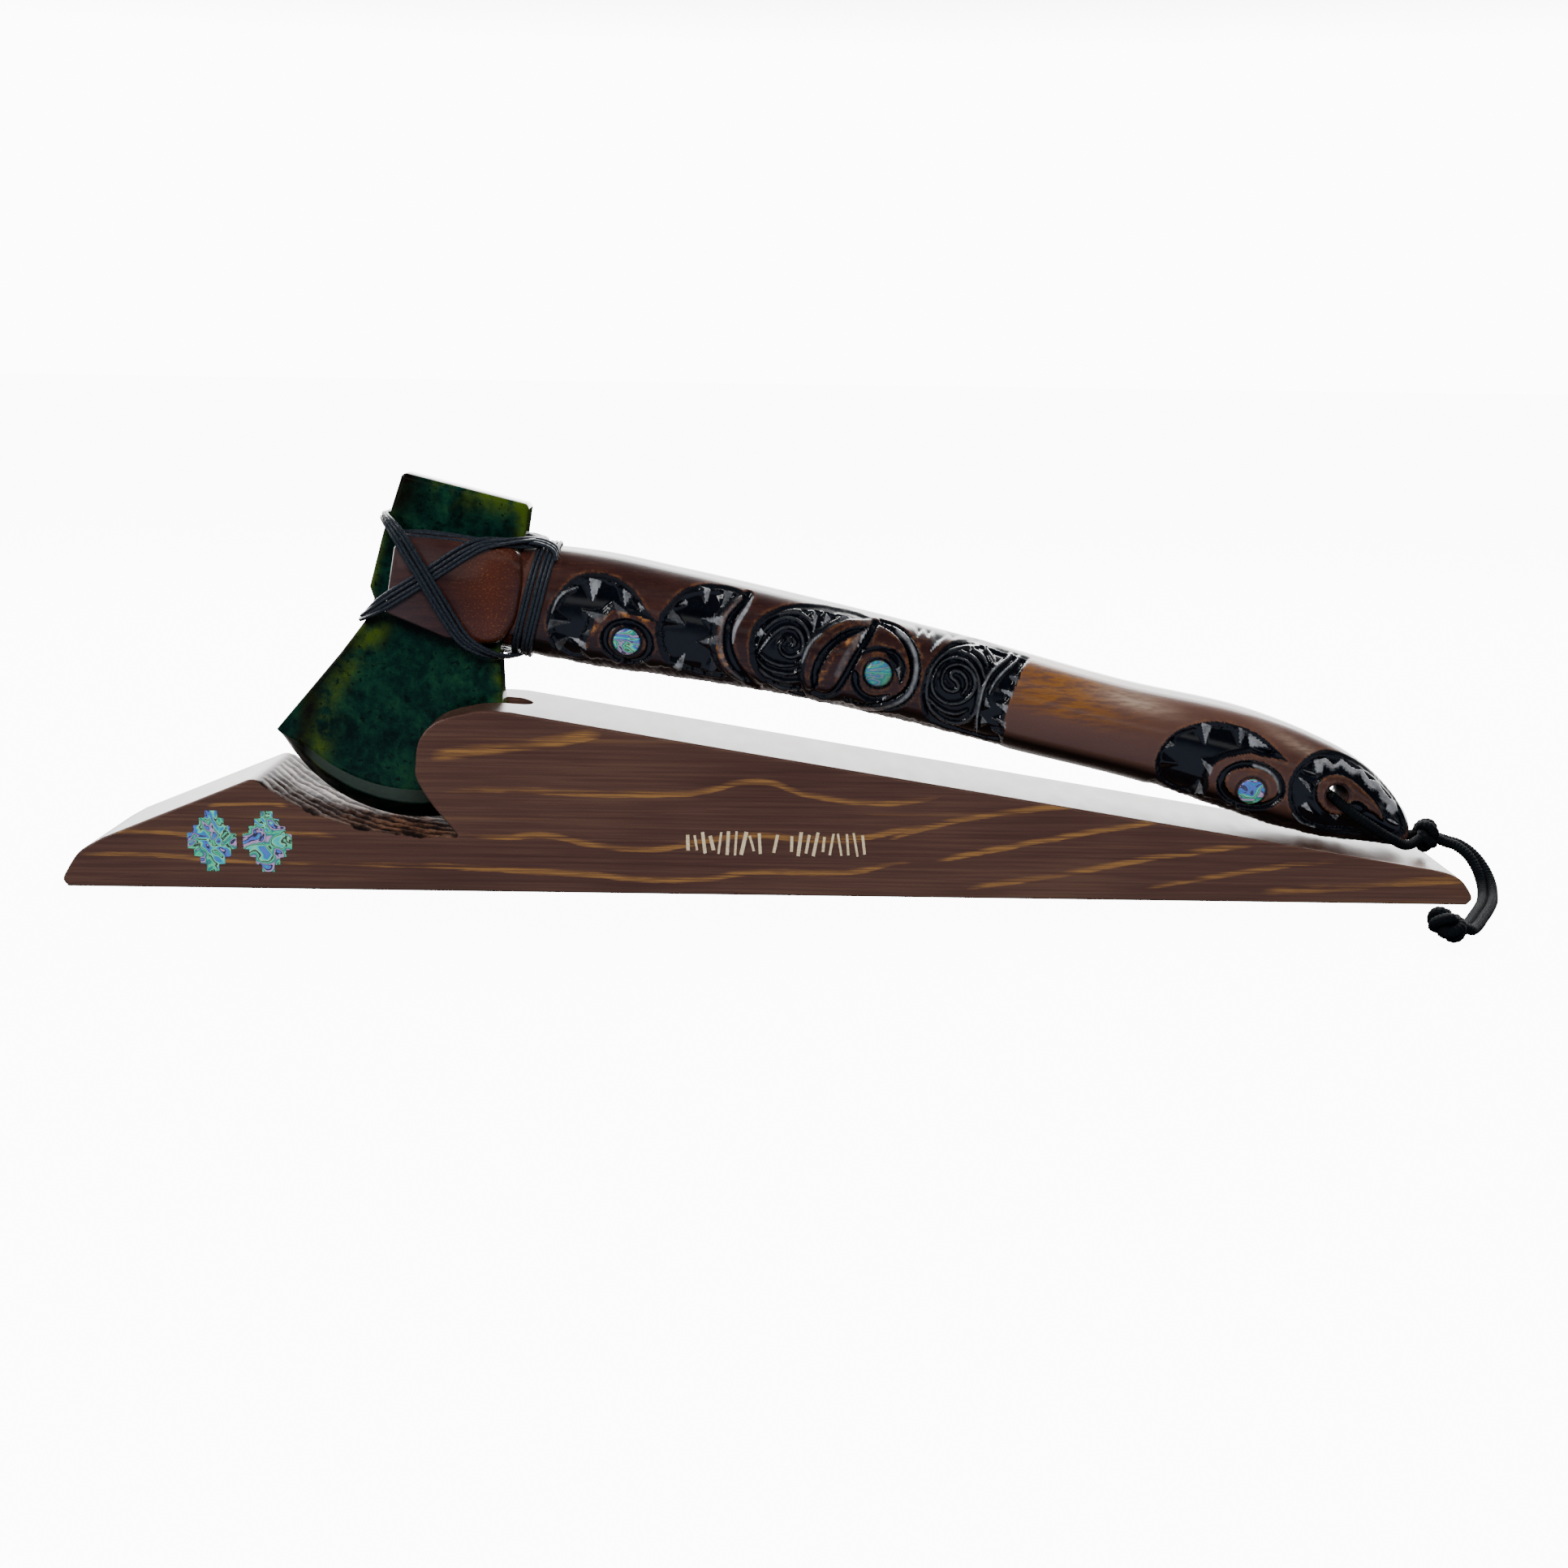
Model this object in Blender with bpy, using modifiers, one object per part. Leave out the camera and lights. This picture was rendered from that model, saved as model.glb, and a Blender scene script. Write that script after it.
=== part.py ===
"""A greenstone ceremonial axe lying in its wooden stand.

Metres, +Z up. X runs along the stand, +Y is its back, and the origin is the middle of the
stand's underside. The axe is modelled in a frame of its own, with x along the handle and z
across it, which an empty then tilts until the axe rests in the stand.
"""
import math

import bmesh
import bpy
import numpy as np
from mathutils import Matrix, Vector

MM = 0.001

# Clearance between any two pieces that touch
GAP = 0.3 * MM

# Stand: a solid block with a mouth that takes the cutting edge
STAND_LENGTH = 434 * MM
STAND_DEPTH = 45 * MM
PEAK_HEIGHT = 34.4 * MM
PEAK_INSET = 59.8 * MM
MOUTH_HEIGHT = 17.5 * MM
MOUTH_LENGTH = 60 * MM
LOBE_HEIGHT = 56.4 * MM
TAIL_HEIGHT = 11.2 * MM
TAIL_ROUND = 13.1 * MM
NOSE_HEIGHT = 15.5 * MM
NOSE_LENGTH = 12.6 * MM
SLOT_CLEARANCE = 1 * MM
SLOT_END_ROOM = 5 * MM

# Shell inlays in the front of the stand, and the row of strokes between them
INLAY_WIDTH = 15 * MM
INLAY_HEIGHT = 19 * MM
INLAY_THICKNESS = 1.6 * MM
INLAY_PROUD = 0.1 * MM
INLAY_LEVEL = 15 * MM
INLAY_MIDDLE = -162 * MM
INLAY_SPACING = 17 * MM
INLAY_STEPS = 4
INLAY_BATTER = 0.2 * MM

# Stone blade
STONE_THICKNESS = 11 * MM
BUTT_WIDTH = 40 * MM
BUTT_LEVEL = 48.2 * MM
STONE_WAIST = 42 * MM
EDGE_RADIUS = 49.2 * MM
EDGE_CENTRE = (-3 * MM, -8.6 * MM)
EDGE_THICKNESS = 0.8 * MM
TIP_LEVEL = -39.8 * MM
BEVEL_RADIUS = 50.2 * MM
BEVEL_CENTRE = (-6 * MM, 2 * MM)
STONE_ROUND = 1.2 * MM
BLADE_SEAT = -109.7 * MM

# Handle; the drawn sizes are those at which its outlines and carving are written, in millimetres
DRAWN_LENGTH = 296.2
DRAWN_HEIGHT = 34
CHEEK_LENGTH = 40.6 * MM
CHEEK_FOOT = 2.4 * MM
CHEEK_HEIGHT = 28 * MM
CHEEK_THICKNESS = 6.2 * MM
NECK_START = 16 * MM
GRIP_LENGTH = 296.2 * MM
GRIP_HEIGHT = 34 * MM
GRIP_THICKNESS = 26 * MM
SECTION_ROUND = 0.85
CARVE_DEPTH = 1.3 * MM
HOLE_DIAMETER = 7 * MM
HOLE_PLACE = (284.4, 23.4)

# Shell eyes
EYE_DIAMETER = 8.2 * MM
EYE_THICKNESS = 1.8 * MM
EYE_PROUD = 0.5 * MM
EYE_PLACES = ((58.7, 15.6), (135.6, 25.4), (257.6, 18.2))

# Lashing of waxed cord
STRAND = 1.2 * MM
LEG_STRANDS = 4
NECK_TURNS = 5
NECK_WRAP_PLACE = 27.8
NECK_CROSS_PLACE = 26

# Wrist cord and its knots
CORD_DIAMETER = 3 * MM
CORD_KNOT_LENGTH = 11 * MM
CORD_KNOT_DIAMETER = 9.4 * MM
END_KNOT_DIAMETER = 12 * MM

FRONT, BACK = -1, 1


# Small tools for outlines

def smooth(points, steps=4, closed=False):
    """A Catmull-Rom curve through the points."""
    pts = [Vector(p) for p in points]
    if closed:
        pts = [pts[-1]] + pts + pts[:2]
    else:
        pts = [2 * pts[0] - pts[1]] + pts + [2 * pts[-1] - pts[-2]]
    out = []
    for a, b, c, d in zip(pts, pts[1:], pts[2:], pts[3:]):
        for i in range(steps):
            t = i / steps
            out.append(0.5 * (2 * b + (c - a) * t + (2 * a - 5 * b + 4 * c - d) * t ** 2
                              + (3 * b - a - 3 * c + d) * t ** 3))
    if not closed:
        out.append(pts[-2])
    return out


def bezier(a, b, c, d, steps):
    a, b, c, d = (Vector(p) for p in (a, b, c, d))
    values = [i / steps for i in range(steps + 1)]
    return [a * (1 - t) ** 3 + 3 * b * t * (1 - t) ** 2 + 3 * c * t ** 2 * (1 - t) + d * t ** 3
            for t in values]


def arc(centre, radius, start, end, steps):
    """Points on an arc, angles in degrees."""
    out = []
    for i in range(steps + 1):
        angle = math.radians(start + (end - start) * i / steps)
        out.append(Vector(centre) + radius * Vector((math.cos(angle), math.sin(angle))))
    return out


def oval(centre, half_long, half_short, turn=0, steps=16):
    """An ellipse whose long axis is turned by so many degrees."""
    across = Matrix.Rotation(math.radians(turn), 2)
    out = []
    for i in range(steps):
        angle = 2 * math.pi * i / steps
        out.append(Vector(centre) + across @ Vector((half_long * math.cos(angle),
                                                     half_short * math.sin(angle))))
    return out


def band(points, half_width, taper=0.0):
    """The outline of a stroke along the points, narrowed to its ends by the taper."""
    left, right = [], []
    for i, p in enumerate(points):
        ahead = points[min(i + 1, len(points) - 1)] - points[max(i - 1, 0)]
        side = Vector((-ahead.y, ahead.x)).normalized()
        share = abs(2 * i / (len(points) - 1) - 1)
        reach = half_width * (1 - taper * share ** 2)
        left.append(p + side * reach)
        right.append(p - side * reach)
    return left + right[::-1]


def zigzag(points, amplitude):
    """The points moved to one side and the other in turn."""
    out = [points[0]]
    for i in range(1, len(points) - 1):
        ahead = points[i + 1] - points[i - 1]
        side = Vector((-ahead.y, ahead.x)).normalized()
        out.append(points[i] + side * amplitude * (1 if i % 2 else -1))
    return out + [points[-1]]


def spiral(centre, start_radius, end_radius, turns, start, half_width, steps=18):
    points = []
    for i in range(steps + 1):
        share = i / steps
        radius = start_radius + (end_radius - start_radius) * share
        angle = math.radians(start) + 2 * math.pi * turns * share
        points.append(Vector(centre) + radius * Vector((math.cos(angle), math.sin(angle))))
    return band(points, half_width, 0.5)


# Scene tools

def clear_scene():
    for obj in list(bpy.data.objects):
        bpy.data.objects.remove(obj, do_unlink=True)


def new_collection(name):
    collection = bpy.data.collections.new(name)
    bpy.context.scene.collection.children.link(collection)
    return collection


def new_material(name, color, roughness, metallic=0.0):
    material = bpy.data.materials.new(name)
    material.use_nodes = True
    shader = material.node_tree.nodes["Principled BSDF"]
    shader.inputs["Base Color"].default_value = (*color, 1)
    shader.inputs["Roughness"].default_value = roughness
    shader.inputs["Metallic"].default_value = metallic
    return material


def add_object(name, mesh, collection, material=None, parent=None):
    obj = bpy.data.objects.new(name, mesh)
    collection.objects.link(obj)
    obj.parent = parent
    if material:
        mesh.materials.append(material)
    return obj


def smooth_shading(obj, angle=40):
    obj.data.shade_smooth()
    obj.data.set_sharp_from_angle(angle=math.radians(angle))


def as_cutter(obj):
    obj.hide_render = True
    obj.display_type = "WIRE"
    return obj


def add_boolean(obj, other, operation):
    modifier = obj.modifiers.new(operation.lower() + "_" + other.name, "BOOLEAN")
    modifier.object = other
    modifier.operation = operation
    modifier.solver = "EXACT"


def mesh_from_curve(name, curve):
    """Turn a curve into a closed mesh and drop the curve."""
    source = bpy.data.objects.new(name + "_curve", curve)
    bpy.context.scene.collection.objects.link(source)
    bpy.context.view_layer.update()
    evaluated = source.evaluated_get(bpy.context.evaluated_depsgraph_get())
    mesh = bpy.data.meshes.new_from_object(evaluated)
    bpy.data.objects.remove(source, do_unlink=True)
    bpy.data.curves.remove(curve)
    mesh.name = name
    bm = bmesh.new()
    bm.from_mesh(mesh)
    bmesh.ops.remove_doubles(bm, verts=bm.verts, dist=0.001 * MM)
    merge_flat_faces(bm)
    bmesh.ops.recalc_face_normals(bm, faces=bm.faces)
    bm.to_mesh(mesh)
    bm.free()
    return mesh


def merge_flat_faces(bm):
    """Join the triangles of each flat face, so that cuts meet as few edges as they can."""
    bmesh.ops.dissolve_degenerate(bm, edges=bm.edges, dist=0.001 * MM)
    bmesh.ops.dissolve_limit(bm, angle_limit=math.radians(0.2), verts=bm.verts, edges=bm.edges)


def plate_mesh(name, loops, y_low, y_high):
    """A flat outline in the X-Z plane, given thickness along Y. Inner loops are holes."""
    curve = bpy.data.curves.new(name, "CURVE")
    curve.dimensions = "2D"
    curve.fill_mode = "BOTH"
    curve.extrude = (y_high - y_low) / 2
    for loop in loops:
        spline = curve.splines.new("POLY")
        spline.points.add(len(loop) - 1)
        for point, (x, z) in zip(spline.points, loop):
            point.co = (x, z, 0, 1)
        spline.use_cyclic_u = True
    mesh = mesh_from_curve(name, curve)
    upright = Matrix.Rotation(math.radians(90), 4, "X")
    mesh.transform(Matrix.Translation((0, (y_low + y_high) / 2, 0)) @ upright)
    return mesh


def loft_mesh(name, rings, closed_path=False, flat_faces=False):
    """Skin rings of equally many points; the ends are capped unless the path is closed."""
    bm = bmesh.new()
    rows = [[bm.verts.new(p) for p in ring] for ring in rings]
    pairs = list(zip(rows, rows[1:]))
    if closed_path:
        pairs.append((rows[-1], rows[0]))
    count = len(rows[0])
    for low, high in pairs:
        for i in range(count):
            j = (i + 1) % count
            bm.faces.new((low[i], low[j], high[j], high[i]))
    if not closed_path:
        bm.faces.new(rows[0][::-1])
        bm.faces.new(rows[-1])
    bmesh.ops.recalc_face_normals(bm, faces=bm.faces)
    if flat_faces:
        merge_flat_faces(bm)
    mesh = bpy.data.meshes.new(name)
    bm.to_mesh(mesh)
    bm.free()
    return mesh


# The stand's outline

def mouth_curve():
    """The hollow that takes the cutting edge, from the peak down to the lobe's foot."""
    left = -STAND_LENGTH / 2 + PEAK_INSET + 2.1 * MM
    high, low = PEAK_HEIGHT - 0.6 * MM, MOUTH_HEIGHT
    drop = high - low
    return bezier((left, high), (left + 0.302 * MOUTH_LENGTH, low + 0.2 * drop),
                  (left + 0.618 * MOUTH_LENGTH, low),
                  (left + MOUTH_LENGTH, low), 14)


def lobe_curve():
    """The round beak behind the mouth, as shares of its own rise."""
    foot = mouth_curve()[-1]
    rise = LOBE_HEIGHT - MOUTH_HEIGHT
    shares = ((-0.062, 0.08), (-0.203, 0.253), (-0.314, 0.443), (-0.324, 0.559),
              (-0.291, 0.758), (-0.157, 0.907), (0.1, 0.985), (0.263, 1.0), (0.425, 0.992))
    points = [foot + Vector(share) * rise for share in shares]
    return smooth([foot] + points, 3)[1:]


def tail_line():
    """The high and low ends of the straight back of the stand."""
    end = Vector((STAND_LENGTH / 2 - TAIL_ROUND, TAIL_HEIGHT))
    return lobe_curve()[-1], end


def stand_outline():
    half = STAND_LENGTH / 2
    nose = smooth([(-half + 0.11 * NOSE_LENGTH, 0), (-half, 0.14 * NOSE_HEIGHT),
                   (-half + 0.1 * NOSE_LENGTH, 0.33 * NOSE_HEIGHT),
                   (-half + 0.43 * NOSE_LENGTH, 0.71 * NOSE_HEIGHT),
                   (-half + NOSE_LENGTH, NOSE_HEIGHT)], 3)
    peak_x = -half + PEAK_INSET
    peak = smooth([(peak_x - 4.4 * MM, PEAK_HEIGHT - 1.3 * MM),
                   (peak_x - 1.7 * MM, PEAK_HEIGHT - 0.2 * MM), (peak_x, PEAK_HEIGHT)], 2)
    tail = smooth([tail_line()[1], (half - 0.55 * TAIL_ROUND, 0.87 * TAIL_HEIGHT),
                   (half - 0.26 * TAIL_ROUND, 0.68 * TAIL_HEIGHT),
                   (half - 0.05 * TAIL_ROUND, 0.36 * TAIL_HEIGHT),
                   (half, 0.16 * TAIL_HEIGHT), (half - 0.12 * TAIL_ROUND, 0)], 3)
    return nose + peak + mouth_curve() + lobe_curve() + tail


# Where the axe rests

def blade_seat():
    """The world place of the cutting edge's own centre: low enough to touch the mouth."""
    heights = []
    for point in mouth_curve():
        reach = point.x - BLADE_SEAT
        if abs(reach) < 0.8 * EDGE_RADIUS:
            heights.append(point.y + math.sqrt(EDGE_RADIUS ** 2 - reach ** 2))
    return Vector((BLADE_SEAT, max(heights) + GAP))


def along(u):
    """A place along the handle, given in millimetres at the length drawn."""
    return NECK_START + (u * MM - NECK_START) * GRIP_LENGTH / (DRAWN_LENGTH * MM)


def across(v):
    """A height on the handle, given in millimetres at the height drawn."""
    return v * GRIP_HEIGHT / DRAWN_HEIGHT


def spot(u, v):
    return Vector((along(u), across(v)))


GRIP_TOP = ((16, 34.6), (30, 37.6), (44, 39.5), (70, 40.7), (110, 41.7), (160, 42.0), (210, 41.0),
            (255, 41.8), (271.5, 39.8), (288.8, 35.6), (298.3, 31.0), (305, 26.2), (309.8, 21.4),
            (312.2, 17.0))
GRIP_BOTTOM = ((16, 4.0), (30, 3.3), (44, 3.5), (75, 6.7), (106, 9.6), (137, 10.9), (184, 11.2),
               (232, 11.0), (249, 9.5), (273, 7.9), (289, 8.6), (300, 10.2), (309, 11.8),
               (312.2, 13.4))
GRIP_SIDE = ((16, 0.72), (25, 0.76), (32, 0.84), (44, 0.97), (70, 1.0), (200, 1.0), (240, 0.95),
             (270, 0.84), (290, 0.74), (304, 0.6), (310, 0.46), (312.2, 0.3))


def station(u, table):
    """The table's value at a place along the handle, on a smooth curve through it."""
    names = [row[0] for row in table]
    values = [row[1] for row in table]
    slopes = np.gradient(values, names)
    i = min(max(int(np.searchsorted(names, u)) - 1, 0), len(names) - 2)
    step = names[i + 1] - names[i]
    t = min(max((u - names[i]) / step, 0), 1)
    a, b = values[i], values[i + 1]
    m, n = slopes[i] * step, slopes[i + 1] * step
    return (a * (2 * t ** 3 - 3 * t ** 2 + 1) + m * (t ** 3 - 2 * t ** 2 + t)
            + b * (3 * t ** 2 - 2 * t ** 3) + n * (t ** 3 - t ** 2))


def grip_section(u):
    """Middle height, half height and half thickness of the handle."""
    top, bottom = station(u, GRIP_TOP), station(u, GRIP_BOTTOM)
    return (across((top + bottom) / 2), across((top - bottom) / 2),
            station(u, GRIP_SIDE) * GRIP_THICKNESS / 2)


def axe_tilt(seat):
    """The slope at which the belly of the handle comes down on the stand's back."""
    high, low = tail_line()
    fall = (high.y - low.y) / (low.x - high.x)
    underside = []
    for u in range(200, 309, 3):
        underside.append(Vector((along(u), across(station(u, GRIP_BOTTOM)))) - Vector(EDGE_CENTRE))
    near, far = 0.0, 0.6
    for step in range(40):
        tilt = (near + far) / 2
        room = []
        for p in underside:
            x = seat.x + p.x * math.cos(tilt) + p.y * math.sin(tilt)
            z = seat.y - p.x * math.sin(tilt) + p.y * math.cos(tilt)
            if x < low.x:
                room.append(z - (high.y - (x - high.x) * fall))
        if min(room) > GAP:
            near = tilt
        else:
            far = tilt
    return tilt


# Stand

def make_stand(parts, cutters, material, seat):
    half = STAND_DEPTH / 2
    stand = add_object("stand", plate_mesh("stand", [stand_outline()], -half, half), parts, material)
    slot = make_blade_slot(cutters, seat)
    add_boolean(stand, slot, "DIFFERENCE")
    for side in (-1, 1):
        pocket = plate_mesh("pocket", [inlay_outline(side, GAP)],
                            -half - 2 * MM, -half + INLAY_THICKNESS)
        cutter = as_cutter(add_object("inlay_pocket", pocket, cutters))
        add_boolean(stand, cutter, "DIFFERENCE")
    smooth_shading(stand)
    return stand


def make_blade_slot(cutters, seat):
    """The slot that lets the edge run into the lobe, with a round end."""
    reach = math.sqrt(EDGE_RADIUS ** 2 - (EDGE_CENTRE[1] - TIP_LEVEL) ** 2)
    end = seat.x + reach + SLOT_END_ROOM
    half = STONE_THICKNESS / 2 + SLOT_CLEARANCE
    start = mouth_curve()[-1].x - 0.04 * MOUTH_LENGTH
    radius = EDGE_RADIUS + SLOT_CLEARANCE
    floor = []
    for i in range(13):
        x = start + (end + half - start) * i / 12
        floor.append((x, seat.y - math.sqrt(max(radius ** 2 - (x - seat.x) ** 2, 0))))
    top = LOBE_HEIGHT + 10 * MM
    profile = floor + [(end + half, top), (start - 0.4 * MOUTH_LENGTH, top),
                       (start - 0.4 * MOUTH_LENGTH, floor[0][1] + 0.34 * MOUTH_LENGTH)]
    slot = as_cutter(add_object("blade_slot", plate_mesh("blade_slot", [profile], -2 * half,
                                                         2 * half), cutters))
    plan = [(start - 0.5 * MOUTH_LENGTH, -half)]
    plan += [(p.x, p.y) for p in arc((end - half, 0), half, -90, 90, 10)]
    plan += [(start - 0.5 * MOUTH_LENGTH, half)]
    upright = plate_mesh("slot_plan", [plan], -2 * LOBE_HEIGHT, 0)
    upright.transform(Matrix.Rotation(math.radians(-90), 4, "X"))
    outline = as_cutter(add_object("slot_plan", upright, cutters))
    add_boolean(slot, outline, "INTERSECT")
    return slot


def inlay_outline(side, grow=0.0):
    """A stepped diamond, the outline of a woven flounder pattern."""
    middle = Vector((INLAY_MIDDLE + side * INLAY_SPACING / 2, INLAY_LEVEL))
    quarter = []
    for i in range(INLAY_STEPS):
        x = INLAY_WIDTH / 2 * (INLAY_STEPS - i) / INLAY_STEPS + grow
        low = INLAY_HEIGHT / 2 * i / INLAY_STEPS + grow + INLAY_BATTER
        high = INLAY_HEIGHT / 2 * (i + 1) / INLAY_STEPS + grow
        quarter += [Vector((x, low)), Vector((x, high))]
    quarter = quarter[1:]
    left = [Vector((-p.x, p.y)) for p in quarter[::-1]]
    upper = quarter + left
    lower = [Vector((p.x, -p.y)) for p in upper[::-1]]
    return [middle + p for p in upper + lower]


def make_inlays(parts, material):
    front = -STAND_DEPTH / 2
    for name, side in (("inlay_left", -1), ("inlay_right", 1)):
        mesh = plate_mesh(name, [inlay_outline(side)], front - INLAY_PROUD,
                          front + INLAY_THICKNESS - GAP)
        add_object(name, mesh, parts, material)


# Stone blade

def stone_rows():
    """Rows from the butt to the cutting edge: left, right and how they curve."""
    waist, butt = STONE_WAIST / 2, BUTT_WIDTH / 2
    return ((BUTT_LEVEL, -butt + STONE_ROUND, butt - STONE_ROUND),
            (BUTT_LEVEL - 1.5 * STONE_ROUND, -butt, butt),
            (0.74 * BUTT_LEVEL, -waist, waist),
            (0.6 * BUTT_LEVEL, -1.04 * waist, waist),
            (0.24 * BUTT_LEVEL, -1.06 * waist, waist),
            (0.17 * BUTT_LEVEL, -0.96 * waist, waist),
            (0.04 * BUTT_LEVEL, -1.0 * waist, waist),
            (0.27 * TIP_LEVEL, -1.27 * waist, 1.17 * waist),
            (0.55 * TIP_LEVEL, -1.54 * waist, 1.38 * waist))


def circle_below(centre, radius, x):
    return centre[1] - math.sqrt(radius ** 2 - (x - centre[0]) ** 2)


def make_stone_mesh(name, grow=0.0, columns=16):
    half = STONE_THICKNESS / 2
    lines = []
    for row, (level, left, right) in enumerate(stone_rows()):
        depth = half - (STONE_ROUND if row == 0 else 0)
        xs = [left + (right - left) * i / columns for i in range(columns + 1)]
        lines.append(([(x, level) for x in xs], depth))
    reach = math.sqrt(EDGE_RADIUS ** 2 - (EDGE_CENTRE[1] - TIP_LEVEL) ** 2)
    left, right = EDGE_CENTRE[0] - reach, EDGE_CENTRE[0] + reach
    xs = [left + (right - left) * i / columns for i in range(columns + 1)]
    shrink = [BEVEL_CENTRE[0] + (x - EDGE_CENTRE[0]) * 0.93 for x in xs]
    lines.append(([(x, circle_below(BEVEL_CENTRE, BEVEL_RADIUS, x)) for x in shrink], half))
    lines.append(([(x, circle_below(EDGE_CENTRE, EDGE_RADIUS, x)) for x in xs],
                  EDGE_THICKNESS / 2))
    rings = []
    for points, depth in lines:
        depth += grow
        wide = STONE_ROUND / max(points[-1][0] - points[0][0], STONE_ROUND)
        inner = [(a[0] + (b[0] - a[0]) * wide, a[1] + (b[1] - a[1]) * wide)
                 for a, b in ((points[0], points[-1]), (points[-1], points[0]))]
        corner = max(depth - STONE_ROUND, 0.6 * depth)
        first = (points[0][0] - grow, points[0][1])
        last = (points[-1][0] + grow, points[-1][1])
        face = [inner[0]] + points[1:-1] + [inner[1]]
        ring = [(first[0], -corner, first[1])] + [(x, -depth, z) for x, z in face]
        ring += [(last[0], -corner, last[1]), (last[0], corner, last[1])]
        ring += [(x, depth, z) for x, z in face[::-1]] + [(first[0], corner, first[1])]
        rings.append(ring)
    if grow:
        rings = [[(x, y, z + grow) for x, y, z in rings[0]]] + rings
    return loft_mesh(name, rings, flat_faces=True)


# Handle

def grip_mesh(name, grow=0.0, around=20, spacing=14):
    """The handle's free form: rounded sections from the neck to the tip."""
    places = [16, 24, 31, 36, 43, 52] + list(range(64, 268, spacing))
    places += [270, 280, 290, 298, 304, 309, 312.2]
    rings = []
    for u in places:
        middle, high, side = grip_section(u)
        x = along(u)
        if u == places[-1]:
            x += min(grow, 0) if grow < 0 else grow
        ring = []
        for i in range(around):
            angle = 2 * math.pi * (i + 0.5) / around
            c, s = math.cos(angle), math.sin(angle)
            y = math.copysign(abs(c) ** SECTION_ROUND, c) * (side + grow)
            z = math.copysign(abs(s) ** SECTION_ROUND, s) * (high + grow)
            ring.append((x, y, middle + z))
        rings.append(ring)
    return loft_mesh(name, rings)


def grip_surface(u, v, side):
    """A point on the handle's side, its outward normal, and the direction along it."""
    middle, high, thick = grip_section(u)
    power = 2 / SECTION_ROUND
    share = max(min((across(v) - middle) / high, 0.98), -0.98)
    y = thick * (1 - abs(share) ** power) ** (1 / power)
    slope = math.copysign(abs(share) ** (power - 1), share) / high
    out = Vector((0, side * (y / thick) ** (power - 1) / thick, slope)).normalized()
    return Vector((along(u), side * y, across(v))), out


def cheek_outline(grow=0.0):
    """The flat cheek that clasps the stone, round where it steps down to the neck."""
    left, right = NECK_START + 8 * MM - CHEEK_LENGTH, NECK_START + 8 * MM
    low, high = CHEEK_FOOT, CHEEK_FOOT + CHEEK_HEIGHT
    points = [(left + 1.4 * MM - grow, low + 3.4 * MM - grow),
              (left + 0.56 * CHEEK_LENGTH, low - grow),
              (left + 0.8 * CHEEK_LENGTH, low + 1.1 * MM - grow),
              (right - 2.6 * MM + grow, low + 3.4 * MM - grow), (right + grow, low + 10 * MM),
              (right - 1 * MM + grow, high - 3 * MM), (right - 3.4 * MM + grow, high + 3 * MM + grow),
              (right - 8 * MM, high + 4.4 * MM + grow),
              (left + 0.5 * CHEEK_LENGTH, high + 3.6 * MM + grow),
              (left + 1.9 * MM - grow, high + 0.6 * MM + grow), (left - grow, high - 4.6 * MM)]
    return [Vector(p) for p in points]


def cheek_half():
    return STONE_THICKNESS / 2 + GAP + CHEEK_THICKNESS


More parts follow.
